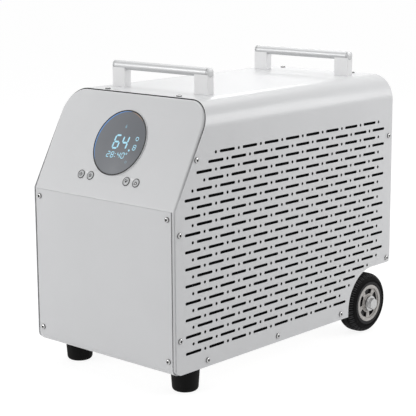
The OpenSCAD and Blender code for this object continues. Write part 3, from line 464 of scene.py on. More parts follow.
def make_plated(name, colour, rough, spangle):
    """Plated steel: bright cells, each with its own gloss."""
    tree, shader, place = new_finish(name, Metallic=1.0)
    spangles = cells(tree, place, spangle, "Color")
    tone = tree.add("ShaderNodeRGBToBW", {"Color": spangles}).outputs["Val"]
    colours = tint(tree, tone, shade(colour, 0.93), shade(colour, 1.04), 0.2, 0.8)
    coat(tree, shader, colours, spread(tree, tone, rough * 0.92, rough * 1.08))
    bump(tree, shader, noise(tree, place, 700.0), 0.0012)


def make_rubber(name, colour, rough, gloss=0.12):
    """Moulded rubber with a fine pitted skin and a little dust."""
    tree, shader, place = new_finish(name, Specular_IOR_Level=gloss)
    dust = noise(tree, place, 35.0, 5.0, 0.65)
    colours = tint(tree, dust, shade(colour, 0.8), shade(colour, 1.5), 0.4, 0.75)
    coat(tree, shader, colours, spread(tree, dust, rough * 0.9, min(1.0, rough * 1.15)))
    bump(tree, shader, cells(tree, place, 1400.0), 0.03, 0.6)


def blend_by(name, attribute, colour):
    """Blends a finish's colour into another one where a mesh attribute says so."""
    tree = Tree(FINISHES[name].node_tree)
    shader = next(node for node in tree.tree.nodes if node.type == "BSDF_PRINCIPLED")
    plain_colour = shader.inputs["Base Color"].links[0].from_socket
    share = tree.add("ShaderNodeAttribute", attribute_name=attribute).outputs["Fac"]
    mixed = tree.add("ShaderNodeMix", {"Factor": share, 6: plain_colour, 7: colour}, data_type="RGBA")
    tree.put(shader.inputs["Base Color"], mixed.outputs[2])


def make_copper(name, colour, dark):
    """Drawn pipe: bright metal with brown tarnish in soft patches and drawing lines."""
    tree, shader, place = new_finish(name, Metallic=1.0)
    tarnish = noise(tree, place, 38.0, 6.0, 0.62)
    coat(tree, shader, tint(tree, tarnish, dark, colour, 0.36, 0.56), spread(tree, tarnish, 0.46, 0.24))
    bump(tree, shader, noise(tree, place, 1100.0, 2.0, 0.5, (1.0, 1.0, 0.08)), 0.006)


def make_fins():
    """Thin black plates, one every 1.8 mm along the depth."""
    tree, shader, place = new_finish("fin_black", Metallic=0.4)
    wave = bands(tree, place, "Y", Scale=89.0, Distortion=0.15, Detail=1.0)
    colours = tint(tree, wave, (0.006, 0.006, 0.007, 1.0), (0.05, 0.052, 0.055, 1.0), 0.3, 0.8)
    coat(tree, shader, colours, spread(tree, noise(tree, place, 60.0), 0.5, 0.65))
    bump(tree, shader, wave, 0.5, 0.8)


def make_filter_mat():
    """Black filter cloth: a fine open weave."""
    tree, shader, place = new_finish("filter_mat", Specular_IOR_Level=0.1)
    weave = tree.math("MAXIMUM", *[bands(tree, place, axis, Scale=260.0) for axis in "YZ"])
    colours = tint(tree, weave, (0.001, 0.001, 0.001, 1.0), (0.006, 0.006, 0.007, 1.0), 0.4, 0.9)
    coat(tree, shader, colours, spread(tree, noise(tree, place, 50.0), 0.9, 1.0))
    bump(tree, shader, weave, 0.2)


def make_board():
    """Green circuit board with paler tracks."""
    tree, shader, place = new_finish("board_green")
    greens = {"Color1": (0.010, 0.085, 0.035, 1.0), "Color2": (0.014, 0.105, 0.045, 1.0)}
    lines = {"Mortar": (0.09, 0.26, 0.10, 1.0), "Mortar Size": 0.03, "Scale": 180.0}
    tracks = tree.add("ShaderNodeTexBrick", {"Vector": place, **greens, **lines}).outputs
    coat(tree, shader, tracks["Color"], spread(tree, noise(tree, place, 70.0), 0.3, 0.42))
    bump(tree, shader, tracks["Fac"], 0.03)


def make_foam(name, colour):
    """Closed-cell insulation with small soft cells."""
    tree, shader, place = plain_finish(name, colour, 0.9, 0.12, 30.0, 500.0, 0.05)
    bump(tree, shader, cells(tree, place, 420.0), 0.25, 0.7)


def make_glass():
    """Smoked display glass: dark ground under a clear gloss."""
    tree, shader, place = new_finish("display_glass", Specular_IOR_Level=0.4)
    haze = noise(tree, place, 14.0, 3.0)
    colours = tint(tree, haze, (0.172, 0.182, 0.200, 1.0), (0.190, 0.200, 0.218, 1.0))
    coat(tree, shader, colours, spread(tree, noise(tree, place, 60.0, 4.0), 0.38, 0.46))
    bump(tree, shader, noise(tree, place, 25.0, 1.0), 0.002, 0.5)


def make_light(name, colour, strength):
    """Lit area behind the glass, a little uneven."""
    tree, shader, place = new_finish(name, Emission_Strength=strength)
    uneven = noise(tree, place, 240.0, 2.0)
    lit = tint(tree, uneven, shade(colour, 0.88), shade(colour, 1.0))
    coat(tree, shader, lit, spread(tree, uneven, 0.3, 0.4))
    tree.put(shader.inputs["Emission Color"], lit)


def grey(value, warm=0.0):
    """A grey, warmer or cooler by a small share."""
    return (value * (1.0 + warm), value, value * (1.0 - warm), 1.0)


def make_finishes():
    """Makes every material of the machine."""
    look = bpy.context.scene.finishes
    make_powder_coat("shell_paint", tuple(look.shell) + (1.0,), look.shell_roughness)
    # painted shade: the shell's inner face and cut edges darkened to near black
    blend_by("shell_paint", "recess", grey(0.01))
    make_powder_coat("panel_paint", tuple(look.panel) + (1.0,), look.shell_roughness + 0.03)
    make_plated("steel", grey(0.50), 0.34, 300.0)
    make_plated("screw_steel", grey(0.52), 0.17, 900.0)
    # painted shade in the screw heads' cross and round their foot
    blend_by("screw_steel", "recess", (0.010, 0.010, 0.011, 1.0))
    make_plated("zinc_steel", grey(0.66, 0.01), 0.27, 260.0)
    make_filter_mat()
    make_rubber("black_rubber", grey(0.006), 0.7)
    # painted shade: near-black strips laid in the seams where there is shadow
    make_rubber("seal_rubber", grey(0.004), 0.8)
    make_rubber("tyre_rubber", grey(0.003), 0.6, 0.05)
    # painted highlight: lug edges and the sidewall ring lighter where light catches them, partly rubbed
    # rubber
    blend_by("tyre_rubber", "wear", (0.13, 0.13, 0.135, 1.0))
    plain_finish("hub_plastic", (0.51, 0.49, 0.47, 1.0), 0.5, 0.05, 60.0, 1300.0, 0.02)
    # painted shade inside the hub's openings
    blend_by("hub_plastic", "recess", (0.014, 0.013, 0.013, 1.0))
    plain_finish("satin_alloy", (0.60, 0.605, 0.61, 1.0), 0.38, 0.02, 30.0, 1600.0, 0.004, Metallic=0.35)
    plain_finish("ring_black", grey(0.006), 0.6, 0.1, 60.0, 1500.0, 0.004)
    make_powder_coat("post_paint", (0.90, 0.90, 0.905, 1.0), 0.36)
    plain_finish("dark_ring", grey(0.022), 0.4, 0.1, 60.0, 1500.0, 0.006)
    plain_finish("bush_plastic", (0.66, 0.64, 0.58, 1.0), 0.42, 0.03, 70.0)
    plain_finish("black_plastic", grey(0.013), 0.38, 0.2, 45.0, 1400.0, 0.012)
    make_glass()
    make_board()
    make_plated("chrome_ring", grey(0.62), 0.12, 1200.0)
    plain_finish("button_plastic", (0.70, 0.71, 0.72, 1.0), 0.4, 0.02, 80.0, 1500.0, 0.006)
    make_fins()
    plain_finish("black_paint", grey(0.010), 0.36, 0.25, 30.0, 700.0, 0.02, Coat_Weight=0.3)
    plain_finish("fan_plastic", grey(0.018), 0.5, 0.15, 40.0, 1300.0, 0.02)
    make_plated("valve_brass", (0.70, 0.47, 0.20, 1.0), 0.28, 500.0)
    make_copper("copper_pipe", (0.83, 0.42, 0.27, 1.0), (0.34, 0.15, 0.08, 1.0))
    make_foam("tank_plastic", grey(0.032))
    plain_finish("pump_plastic", (0.022, 0.024, 0.028, 1.0), 0.45, 0.15, 50.0, 1300.0, 0.02)
    plain_finish("filter_plastic", (0.05, 0.16, 0.42, 1.0), 0.34, 0.06, 35.0, 1200.0, 0.01)
    make_rubber("hose_rubber", grey(0.014), 0.62)
    make_plated("port_steel", grey(0.60), 0.24, 350.0)
    make_light("digit_light", (0.30, 0.56, 0.68, 1.0), 0.62)
    make_light("blue_light", (0.085, 0.21, 0.46, 1.0), 0.5)
    make_light("orange_light", (0.36, 0.24, 0.17, 1.0), 0.3)
    make_light("faint_light", (0.20, 0.33, 0.40, 1.0), 0.3)
    plain_finish("icon_ink", grey(0.025), 0.5, 0.2, 300.0, 1800.0, 0.004)


class FinishSettings(bpy.types.PropertyGroup):
    """Colours of the painted sheets."""

    shell: paint("Shell paint", "Colour of the outer shell and the handles", (0.735, 0.74, 0.75))
    panel: paint("Panel paint", "Colour of the front panel, console and cover", (0.74, 0.745, 0.755))
    shell_roughness: number("Paint roughness", "Roughness of the satin paint", 0.36, min=0.0, max=1.0)


# ---- Stage ----


class StageSettings(bpy.types.PropertyGroup):
    """Camera, lamps and floor."""

    lens: number("Lens", "Focal length", 118.829, unit="CAMERA")
    eye: bpy.props.FloatVectorProperty(
        name="Camera place",
        description="Where the camera stands",
        default=(1.4485, -1.6337, 0.6728),
        subtype="TRANSLATION",
    )
    key: number("Top lamp", "Power of the lamp above", 15.0)
    fill: number("Front lamp", "Power of the front lamp", 17.5)
    side: number("Side lamp", "Power of the side lamp", 10.5)
    strip: number("Strip lamp", "Power of the strip lamp behind and above", 3.4)
    ambient: number("Room light", "Strength of the even light", 0.42, min=0.0, max=1.0)
    floor: paint("Floor", "Colour of the floor", (0.84, 0.84, 0.845))


class MACHINE_OT_stage(bpy.types.Operator):
    """Sets up the camera, soft studio lamps, the pale floor and the view"""

    bl_idname = "machine.stage"
    bl_label = "Stage"

    IMAGE = 416

    def execute(self, context):
        scene = context.scene
        stage = scene.stage
        scene.view_settings.view_transform = "Standard"
        self.add_camera(scene, stage)
        self.add_lamp("top_lamp", (-0.3, 0.35, 1.9), (0.0, 0.0, 0.25), 1.9, stage.key)
        self.add_lamp("front_lamp", (-1.5, -2.15, 0.85), (0.0, -0.2, 0.25), 1.0, stage.fill)
        self.add_lamp("side_lamp", (1.35, 1.35, 1.0), (0.15, 0.1, 0.3), 0.9, stage.side)
        self.add_lamp("strip_lamp", (-1.4, 1.85, 1.5), (0.0, 0.0, 0.4), 0.55, stage.strip)
        self.add_world(scene, stage)
        self.add_floor(stage)
        return {"FINISHED"}

    def add_camera(self, scene, stage):
        camera = bpy.data.cameras.new("camera")
        camera.lens = stage.lens
        camera.sensor_width = 36.0
        camera.clip_start = 0.05
        camera.shift_x = -0.5 / self.IMAGE
        camera.shift_y = 0.5 / self.IMAGE
        holder = bpy.data.objects.new("camera", camera)
        scene.collection.objects.link(holder)
        across = Vector((0.7405283, 0.6720021, -0.0055756))
        upward = Vector((-0.1312404, 0.1527504, 0.9795117))
        back = -Vector((-0.6590856, 0.7246244, -0.2013098))
        turn = Matrix((across, upward, back)).transposed().to_4x4()
        holder.matrix_world = Matrix.Translation(Vector(stage.eye)) @ turn
        scene.camera = holder

    def add_lamp(self, name, place, target, size, power):
        lamp = bpy.data.lights.new(name, "AREA")
        lamp.shape = "SQUARE"
        lamp.size = size
        lamp.energy = power
        holder = bpy.data.objects.new(name, lamp)
        bpy.context.scene.collection.objects.link(holder)
        aim = Vector(target) - Vector(place)
        holder.location = place
        holder.rotation_euler = aim.to_track_quat("-Z", "Y").to_euler()

    def add_world(self, scene, stage):
        world = bpy.data.worlds.new("studio")
        scene.world = world
        world.use_nodes = True
        world.node_tree.nodes.clear()
        tree = Tree(world.node_tree)
        seen = self.seen_directly(tree)
        share = tree.add("ShaderNodeMapRange", {"Value": seen, "To Min": stage.ambient, "To Max": 1.0})
        look = {"Color": (1.0, 1.0, 1.0, 1.0), "Strength": share.outputs["Result"]}
        light = tree.add("ShaderNodeBackground", look)
        tree.add("ShaderNodeOutputWorld", {"Surface": light.outputs["Background"]})

    def seen_directly(self, tree):
        path = tree.add("ShaderNodeLightPath").outputs
        seen = tree.math("MAXIMUM", path["Is Camera Ray"], path["Is Glossy Ray"])
        return tree.math("MAXIMUM", seen, path["Is Transmission Ray"])

    def add_floor(self, stage):
        reach = 9.0
        corners = [(-reach, -reach, 0.0), (reach, -reach, 0.0), (reach, reach, 0.0), (-reach, reach, 0.0)]
        floor = new_piece("floor", corners, [(0, 1, 2, 3)], None)
        material, tree = new_material("floor")
        matt = tree.add("ShaderNodeBsdfDiffuse", {"Color": tuple(stage.floor) + (1.0,)})
        pale = tree.add("ShaderNodeBsdfDiffuse", {"Color": grey(0.26)})
        glow = tree.add("ShaderNodeEmission", {"Color": grey(1.0), "Strength": 0.88})
        both = tree.add("ShaderNodeAddShader", {0: pale.outputs["BSDF"], 1: glow.outputs["Emission"]})
        parts = {"Fac": self.seen_directly(tree), 1: matt.outputs["BSDF"], 2: both.outputs["Shader"]}
        mixed = tree.add("ShaderNodeMixShader", parts)
        tree.add("ShaderNodeOutputMaterial", {"Surface": mixed.outputs["Shader"]})
        floor.data.materials.append(material)


# ---- Outer shell with its perforated sides ----

ARCH_Y = 474.5
ARCH_Z = 10.0
ARCH_R = 64.0
NOTCH_Z = 74.0
UPPER_SCREW_Z = 309.5
SCREW_INSET = 8.0
# slack that keeps a hole which stands just at its margin
SLACK = 0.01


def lean(z):
    """How far the console's edge lies behind the front panel at height z, in millimetres."""
    s = bpy.context.scene.casing
    return max(0.0, z - s.kink / MM) * math.tan(s.slant)


def set_back():
    """How far the shell's edge lies behind the console along the depth, in millimetres."""
    s = bpy.context.scene.casing
    return s.reveal / MM / math.cos(s.slant)


def arc(cx, cy, radius, start, end, steps):
    """Points on an arc between two angles in degrees."""
    angles = [math.radians(start + (end - start) * k / steps) for k in range(steps + 1)]
    return [(cx + radius * math.cos(a), cy + radius * math.sin(a)) for a in angles]


def side_outline():
    """Edge of a side panel below the top bend, in depth and height."""
    s = bpy.context.scene.casing
    depth, toe, heel = s.depth / MM, s.toe / MM, s.heel / MM
    bend_z = (s.height - s.bend) / MM
    low, high = s.low_reveal / MM, set_back()
    points = [(toe + (toe - low) / toe * (x - toe), y) for x, y in arc(toe, toe, toe, 270, 180, 8)]
    points += [(low, s.kink / MM), (lean(bend_z) + high, bend_z), (depth, bend_z)]
    points += arc(depth - heel, NOTCH_Z + heel, heel, 0, -90, 6)
    points += arc(ARCH_Y, ARCH_Z, ARCH_R, 90, 180, 26)
    points += [(ARCH_Y - ARCH_R, 0.0)]
    return points


class SideTree:
    """Node tree that punches slots and dots in a side wherever the rule leaves room."""

    def __init__(self, sizes):
        kinds = [("Outline", "Geometry"), ("Count", "Int")] + [(name, "Float") for name in sizes]
        kinds.append(("Paint", "Material"))
        self.group, self.tree, self.given = new_group("perforated_side", kinds, "Side")
        self.build()

    def build(self):
        t, given = self.tree, self.given
        index = t.add("GeometryNodeInputIndex").outputs[0]
        row = t.math("FLOOR", t.math("DIVIDE", index, given["Places"]))
        place = t.minus(index, t.times(row, given["Places"]))
        depth = t.minus(given["First place"], t.times(place, given["Place pitch"]))
        height = t.minus(given["First row"], t.times(row, given["Row pitch"]))
        slot = t.math("MODULO", t.plus(row, place), 2.0)
        longer = t.minus(given["Slot length"], given["Dot"])
        half = t.times(t.plus(given["Dot"], t.times(slot, longer)), 0.5)
        keep = t.times(self.clear_front(depth, height, half), self.clear_arch(depth, height, half))
        keep = t.times(keep, t.math("MAXIMUM", slot, self.clear_screw(depth, height)))
        spot = t.add("ShaderNodeCombineXYZ", {"X": depth, "Y": height}).outputs[0]
        points = t.add("GeometryNodePoints", {"Count": given["Count"], "Position": spot}).outputs[0]
        slots = self.punch(points, t.times(keep, slot), self.slot_outline())
        dots = self.punch(points, t.times(keep, t.minus(1.0, slot)), self.dot_outline())
        edge = t.add("GeometryNodeMeshToCurve", {"Mesh": given["Outline"]}).outputs[0]
        joined = t.add("GeometryNodeJoinGeometry")
        for outline in (edge, slots, dots):
            t.put(joined.inputs[0], outline)
        whole_edge = t.add("GeometryNodeRealizeInstances", {"Geometry": joined.outputs[0]}).outputs[0]
        sheet = t.add("GeometryNodeFillCurve", {"Curve": whole_edge}, mode="TRIANGLES").outputs[0]
        t.end(sheet, given["Paint"], "Side")

    def clear_front(self, depth, height, half):
        t, given = self.tree, self.given
        rise = t.math("MAXIMUM", t.minus(height, given["Kink height"]), 0.0)
        edge = t.plus(t.times(rise, given["Lean"]), given["Front margin"])
        return t.math("GREATER_THAN", t.minus(depth, half), t.minus(edge, SLACK))

    def clear_arch(self, depth, height, half):
        t, given = self.tree, self.given
        ahead = t.math("MINIMUM", t.plus(depth, half), given["Arch depth"])
        round_it = t.math("GREATER_THAN", self.away(ahead, height, "Arch"), given["Arch clearance"])
        low = t.minus(height, t.times(given["Dot"], 0.5))
        over_it = t.math("GREATER_THAN", low, given["Notch clearance"])
        before = t.math("LESS_THAN", depth, given["Arch depth"])
        return t.plus(t.times(before, round_it), t.times(t.minus(1.0, before), over_it))

    def clear_screw(self, depth, height):
        away = self.away(depth, height, "Screw")
        return self.tree.math("GREATER_THAN", away, self.given["Screw margin"])

    def away(self, depth, height, middle):
        """Distance of a place from the middle of the arch or of the upper screw."""
        t = self.tree
        a = t.minus(depth, self.given[middle + " depth"])
        b = t.minus(height, self.given[middle + " height"])
        return t.math("SQRT", t.plus(t.times(a, a), t.times(b, b)))

    def slot_outline(self):
        t, given = self.tree, self.given
        size = {"Width": given["Slot length"], "Height": given["Slot width"]}
        box = t.add("GeometryNodeCurvePrimitiveQuadrilateral", size, mode="RECTANGLE").outputs[0]
        ends = {"Curve": box, "Count": 4, "Radius": t.times(given["Slot width"], 0.499)}
        return t.add("GeometryNodeFilletCurve", ends, mode="POLY").outputs[0]

    def dot_outline(self):
        t = self.tree
        size = {"Resolution": 14, "Radius": t.times(self.given["Dot"], 0.5)}
        return t.add("GeometryNodeCurvePrimitiveCircle", size, mode="RADIUS").outputs[0]

    def punch(self, points, chosen, outline):
        spots = {"Points": points, "Selection": chosen, "Instance": outline}
        return self.tree.add("GeometryNodeInstanceOnPoints", spots).outputs[0]


class MACHINE_OT_outer_shell(bpy.types.Operator):
    """Bends the outer shell and punches its sides"""

    bl_idname = "machine.outer_shell"
    bl_label = "Outer shell"

    # how far behind its front edge the painted shade on the inner face fades with height, in millimetres
    EDGE = 6.0
    # how deep in the sheet, as a share of it, a point counts as inside
    INNER = 0.6
    BEND_STEPS = 20

    def execute(self, context):
        casing = context.scene.casing
        verts, faces = self.side(context)
        right = [(casing.width / 2, casing.front + x * MM, casing.clearance + y * MM) for x, y in verts]
        left = [(-x, y, z) for x, y, z in right]
        mirrored = [face[::-1] for face in faces]
        points, polygons = gather([(right, faces), (left, mirrored), self.top(casing)])
        shell = new_piece("outer_shell", points, polygons, FINISHES["shell_paint"])
        thicken(shell, casing.skin, even=True)
        bevel(shell, 0.18, 1, 55.0)
        even_normals(shell)
        bake(shell)
        # painted shade on the sheet's inner face and edges, fading down the front edge
        mark(shell, "recess", [self.inside(casing, v.co) for v in shell.data.vertices])
        nodes = ("top_shell", "side_grille_right", "side_grille_left")
        finish_piece(shell, "casing", "shell_paint", *nodes)
        return {"FINISHED"}

    def inside(self, casing, place):
        """Share of painted shade: 1 on the inner face of the sheet, 0 on its painted face, and less down the
        front edge.
        """
        flat = casing.width / 2 - casing.bend
        rise = max(0.0, place.z - casing.clearance - (casing.height - casing.bend))
        across = max(0.0, abs(place.x) - flat)
        if math.hypot(across, rise) > casing.bend - casing.skin * self.INNER:
            return 0.0
        height = (place.z - casing.clearance) / MM
        if (place.y - casing.front) / MM - lean(height) > self.EDGE:
            return 1.0
        low, high = casing.kink / MM, (casing.height - casing.bend) / MM
        return min(1.0, max(0.0, (height - low) / (high - low)))

    def side(self, context):
        """Points and faces of one side, from the node tree."""
        pattern, casing = context.scene.pattern, context.scene.casing
        outline = side_outline()
        mesh = bpy.data.meshes.new("side_outline")
        links = [(i, (i + 1) % len(outline)) for i in range(len(outline))]
        mesh.from_pydata([(x, y, 0.0) for x, y in outline], links, [])
        holder = bpy.data.objects.new("side_outline", mesh)
        context.scene.collection.objects.link(holder)
        sizes = {
            "Places": float(pattern.places),
            "Row pitch": pattern.row_pitch,
            "Place pitch": pattern.place_pitch,
            "First row": pattern.top,
            "First place": pattern.rear,
            "Slot length": pattern.slot_length,
            "Slot width": pattern.slot_width,
            "Dot": pattern.dot,
            "Kink height": casing.kink / MM,
            "Lean": math.tan(casing.slant),
            "Front margin": pattern.front_margin,
            "Arch depth": ARCH_Y,
            "Arch height": ARCH_Z,
            "Arch clearance": ARCH_R + pattern.arch_margin,
            "Notch clearance": NOTCH_Z + pattern.arch_margin,
            "Screw depth": lean(UPPER_SCREW_Z) + SCREW_INSET / math.cos(casing.slant),
            "Screw height": UPPER_SCREW_Z,
            "Screw margin": pattern.screw_margin,
        }
        modifier = holder.modifiers.new("Perforated side", "NODES")
        modifier.node_group = SideTree(sizes).group
        count = pattern.rows * pattern.places
        set_inputs(modifier, {"Count": count, **sizes, "Paint": FINISHES["shell_paint"]})
        bake(holder)
        verts = [(v.co.x, v.co.y) for v in holder.data.vertices]
        faces = [list(p.vertices) for p in holder.data.polygons]
        if not faces:
            raise RuntimeError("the perforated side came out empty")
        if holder.data.polygons[0].normal.z < 0.0:
            faces = [face[::-1] for face in faces]
        bpy.data.objects.remove(holder)
        return verts, faces

    def top(self, casing):
        """Points and faces of the flat top and its two long bends."""
        radius, half = casing.bend / MM, casing.width / MM / 2.0
        bend_z, depth = (casing.height - casing.bend) / MM, casing.depth / MM
        ridge = arc(half - radius, bend_z, radius, 0, 90, self.BEND_STEPS)
        ridge += arc(radius - half, bend_z, radius, 90, 180, self.BEND_STEPS)
        points = []
        for x, z in ridge:
            points.append(tuple(body_point(x, lean(z) + set_back(), z)))
            points.append(tuple(body_point(x, depth, z)))
        strips = [[2 * i, 2 * i + 1, 2 * i + 3, 2 * i + 2] for i in range(len(ridge) - 1)]
        return points, strips


# ---- Front sheet with its rolled folds ----


def turn_between(a, b, t):
    """Direction a share t of the way from unit vector a to unit vector b."""
    angle = a.angle(b)
    if angle < TINY:
        return a.copy()
    return (a * math.sin((1.0 - t) * angle) + b * math.sin(t * angle)) / math.sin(angle)


class MACHINE_OT_front_sheet(bpy.types.Operator):
    """Folds the front panel and the console out of one sheet"""

    bl_idname = "machine.front_sheet"
    bl_label = "Front sheet"

    FOLD_STEPS = 6
    PANEL_ROW = 11
    TOE_FLANGE = 1.5
    SIDE_FLANGE = 9.0
    TOP_FLANGE = 12.0
    KINK_R = 4.0

    def execute(self, context):
        self.casing = casing = context.scene.casing
        self.points, self.faces = [], []
        half = (casing.width / 2 - casing.tuck) / MM
        sides = [self.station(*row) for row in self.profile(half)]
        right = sides + [self.station(*row) for row in self.corner(half)]
        self.join(right)
        left = [[self.mirror(i) for i in station] for station in right]
        self.join([station[::-1] for station in left])
        self.fill_between(right, left, len(sides) - 2)
        sheet = new_piece("front_sheet", self.points, self.faces, FINISHES["panel_paint"])
        thicken(sheet, casing.sheet)
        even_normals(sheet)
        bake(sheet)
        finish_piece(sheet, "casing", "panel_paint", "front_frame")
        return {"FINISHED"}

    def profile(self, half):
        """Rows of place, face normal, side normal, flange direction and flange length up one side."""
        casing = self.casing
        toe, kink, slant = casing.toe / MM, casing.kink / MM, casing.slant
        side, rear = Vector((1.0, 0.0, 0.0)), Vector((0.0, 1.0, 0.0))
        rows = []
        for y in (20.0, toe + 4.0):
            rows.append(((half, y, 0.0), Vector((0, 0, -1)), side, Vector((0, 0, 1)), self.TOE_FLANGE))
        for k in range(9):
            a = math.radians(270.0 - 90.0 * k / 8)
            n = Vector((0.0, math.cos(a), math.sin(a)))
            rows.append(((half, toe + toe * n.y, toe + toe * n.z), n, side, -n, self.TOE_FLANGE))
        rows.append(((half, 0.0, toe + 6.0), -rear, side, rear, self.SIDE_FLANGE))
        start = kink - self.KINK_R * math.tan(slant / 2)
        for k in range(7):
            a = slant * k / 6
            n = Vector((0.0, -math.cos(a), math.sin(a)))
            place = (half, self.KINK_R + self.KINK_R * n.y, start + self.KINK_R * n.z)
            rows.append((place, n, side, -n, self.SIDE_FLANGE))
        n = Vector((0.0, -math.cos(slant), math.sin(slant)))
        end = (casing.height - casing.bend) / MM - 4.0
        rows.append(((half, lean(end), end), n, side, rear, self.SIDE_FLANGE))
        return rows

    def corner(self, half):
        """Rows round the upper right corner of the console."""
        casing = self.casing
        slant = casing.slant
        n = Vector((0.0, -math.cos(slant), math.sin(slant)))
        radius = (casing.bend - casing.tuck) / MM
        bend_z = (casing.height - casing.bend) / MM
        rows = []
        for k in range(17):
            a = math.radians(90.0 * k / 16)
            m = Vector((math.cos(a), 0.0, math.sin(a)))
            x, z = half - radius + radius * m.x, bend_z + radius * m.z
            rows.append(((x, lean(z), z), n, m, Vector((0, 1, 0)), self.TOP_FLANGE))
        return rows

    def station(self, place, n, m, inward, length):
        """Points from the face over the fold to the flange's end; returns their numbers."""
        fold = self.casing.fold / MM
        place = Vector(place)
        if abs(inward.y - 1.0) < TINY and n.z > 0.01:
            centre = place - m * fold + Vector((0, 1, 0)) * fold * (1.0 - m.dot(n)) / -n.y
        else:
            centre = place - m * fold - n * fold
        row = []
        for k in range(self.FOLD_STEPS + 1):
            row.append(centre + turn_between(n, m, k / self.FOLD_STEPS) * fold)
        row.append(row[-1] + inward * length)
        start = len(self.points)
        self.points += [body_point(*p) for p in row]
        return list(range(start, start + len(row)))

    def mirror(self, index):
        p = self.points[index]
        self.points.append(Vector((-p.x, p.y, p.z)))
        return len(self.points) - 1

    def join(self, stations):
        """Faces between neighbouring stations."""
        for a, b in zip(stations, stations[1:]):
            for k in range(len(a) - 1):
                self.faces.append([a[k], a[k + 1], b[k + 1], b[k]])

    def fill_between(self, right, left, start):
        """Face of the sheet between its two folds, with the panel's and the console's openings."""
        for k in range(start):
            ring = [left[k][0], right[k][0], right[k + 1][0], left[k + 1][0]]
            if k == self.PANEL_ROW:
                self.face_with_holes(ring, [self.window()])
            else:
                self.faces.append(ring)
        ring = [station[0] for station in right[start:]]
        back = [station[0] for station in left[start:]]
        self.face_with_holes(ring + back[::-1], self.console_holes())
        self.join([right[-1], left[-1]])

    def window(self):
        return [body_point(x, 0.0, z) for x, z in ((-118, 36), (118, 36), (118, 214), (-118, 214))]

    def console_holes(self):
        holes = [self.round_hole(0.0, DISPLAY_UP, 48.0, 64)]
        for x in BUTTON_XS:
            holes.append(self.round_hole(x, BUTTON_UP, 5.9, 24))
        return holes

    def round_hole(self, x, up, radius, count):
        turns = [2.0 * math.pi * k / count for k in range(count)]
        return [console_point(x + radius * math.cos(a), up + radius * math.sin(a), 0.0) for a in turns]

    def face_with_holes(self, ring, holes):
        loops = [[self.points[i] for i in ring]]
        numbers = list(ring)
        for hole in holes:
            start = len(self.points)
            self.points += hole
            numbers += list(range(start, start + len(hole)))
            loops.append(hole)
        outward = Vector((0.0, -1.0, 0.3))
        for face in tessellate_polygon(loops):
            a, b, c = (self.points[numbers[i]] for i in face)
            turned = (b - a).cross(c - a).dot(outward) < 0.0
            self.faces.append([numbers[i] for i in (face[::-1] if turned else face)])


BUTTON_XS = (-58.0, -38.0, 38.0, 58.0)
BUTTON_UP = 32.4
DISPLAY_UP = 88.6


# ---- Front cover and the painted shade behind its edge ----


class MACHINE_OT_front_cover(bpy.types.Operator):
    """Makes the front cover, rolled round the toe, and a black strip behind its edge as painted shade"""

    bl_idname = "machine.front_cover"
    bl_label = "Front cover"

    # thickness of the black strip behind the cover, painted shade for the shadow line at its edge
    SHADE_STRIP = 0.8
    HOOK = 7.0

    def execute(self, context):
        casing = context.scene.casing
        out, shade_layer = casing.cover / MM, self.SHADE_STRIP
        half, top = casing.cover_width / MM / 2, casing.cover_top / MM
        outer = self.line(casing, top, out)
        inner = self.line(casing, top, shade_layer)
        points, faces = slab(outer + inner[::-1], -half, half, side_frame(0.0))
        plate = close_up(new_piece("cover_plate", points, faces, FINISHES["panel_paint"]))
        bevel(plate, 0.22)
        even_normals(plate)
        bake(plate)
        finish_piece(plate, "casing", "panel_paint", "front_cover")
        self.add_shade_strip(half - 0.3, top - 0.3, shade_layer, casing)
        return {"FINISHED"}

    def line(self, casing, top, out):
        """Run of the plate from its upper edge down and round the toe, a distance out of the panel."""
        toe = casing.toe / MM
        points = [(-out, top), (-out, top * 0.5)]
        points += arc(toe, toe, toe + out, 180, 270, 10)
        points.append((toe + self.HOOK, -out))
        return points

    # Black strip behind the cover's sides and top: painted shade for the shadow gap there.
    def add_shade_strip(self, half, top, thick, casing):
        width, low = 6.0, casing.toe / MM + 3.0
        loop = [(-half, low), (-half, top), (half, top), (half, low)]
        loop += [(half - width, low), (half - width, top - width), (width - half, top - width)]
        loop += [(width - half, low)]
        turn = Matrix(((1.0, 0.0, 0.0), (0.0, 0.0, -1.0), (0.0, 1.0, 0.0))).to_4x4()
        place = Matrix.Translation(body_point(0, 0, 0)) @ turn @ Matrix.Scale(MM, 4)
        part = slab(loop, 0.02, thick + 0.02, place)
        make_piece("cover_seal", [part], "seal_rubber", "casing", "black_rubber")


# ---- Casing screws ----

SIDE_SCREWS = (
    (44.7, UPPER_SCREW_Z),
    (8.0, 206.5),
    (8.0, 51.5),
    (66.0, 10.0),
    (227.5, 10.0),
    (389.0, 10.0),
    (515.0, 82.0),
    (515.0, 290.5),
)


def screw_places():
    """Place and outward direction of every casing screw."""
    casing = bpy.context.scene.casing
    half, top = casing.width / MM / 2, casing.height / MM
    spots = []
    for side in (1.0, -1.0):
        for y, z in SIDE_SCREWS:
            spots.append((body_point(side * half, y, z), (side, 0.0, 0.0)))
    for x in (-75.0, 75.0):
        for y in (89.565, 513.0):
            spots.append((body_point(x, y, top), (0.0, 0.0, 1.0)))
    for x in (-135.5, 135.5):
        for z in (20.5, 229.0):
            spots.append((body_point(x, -casing.cover / MM, z), (0.0, -1.0, 0.0)))
    for x in (-110.0, 0.0, 110.0):
        spots.append((rear_point(x, 85.0, 0.0), (0.0, 1.0, 0.0)))
    return spots


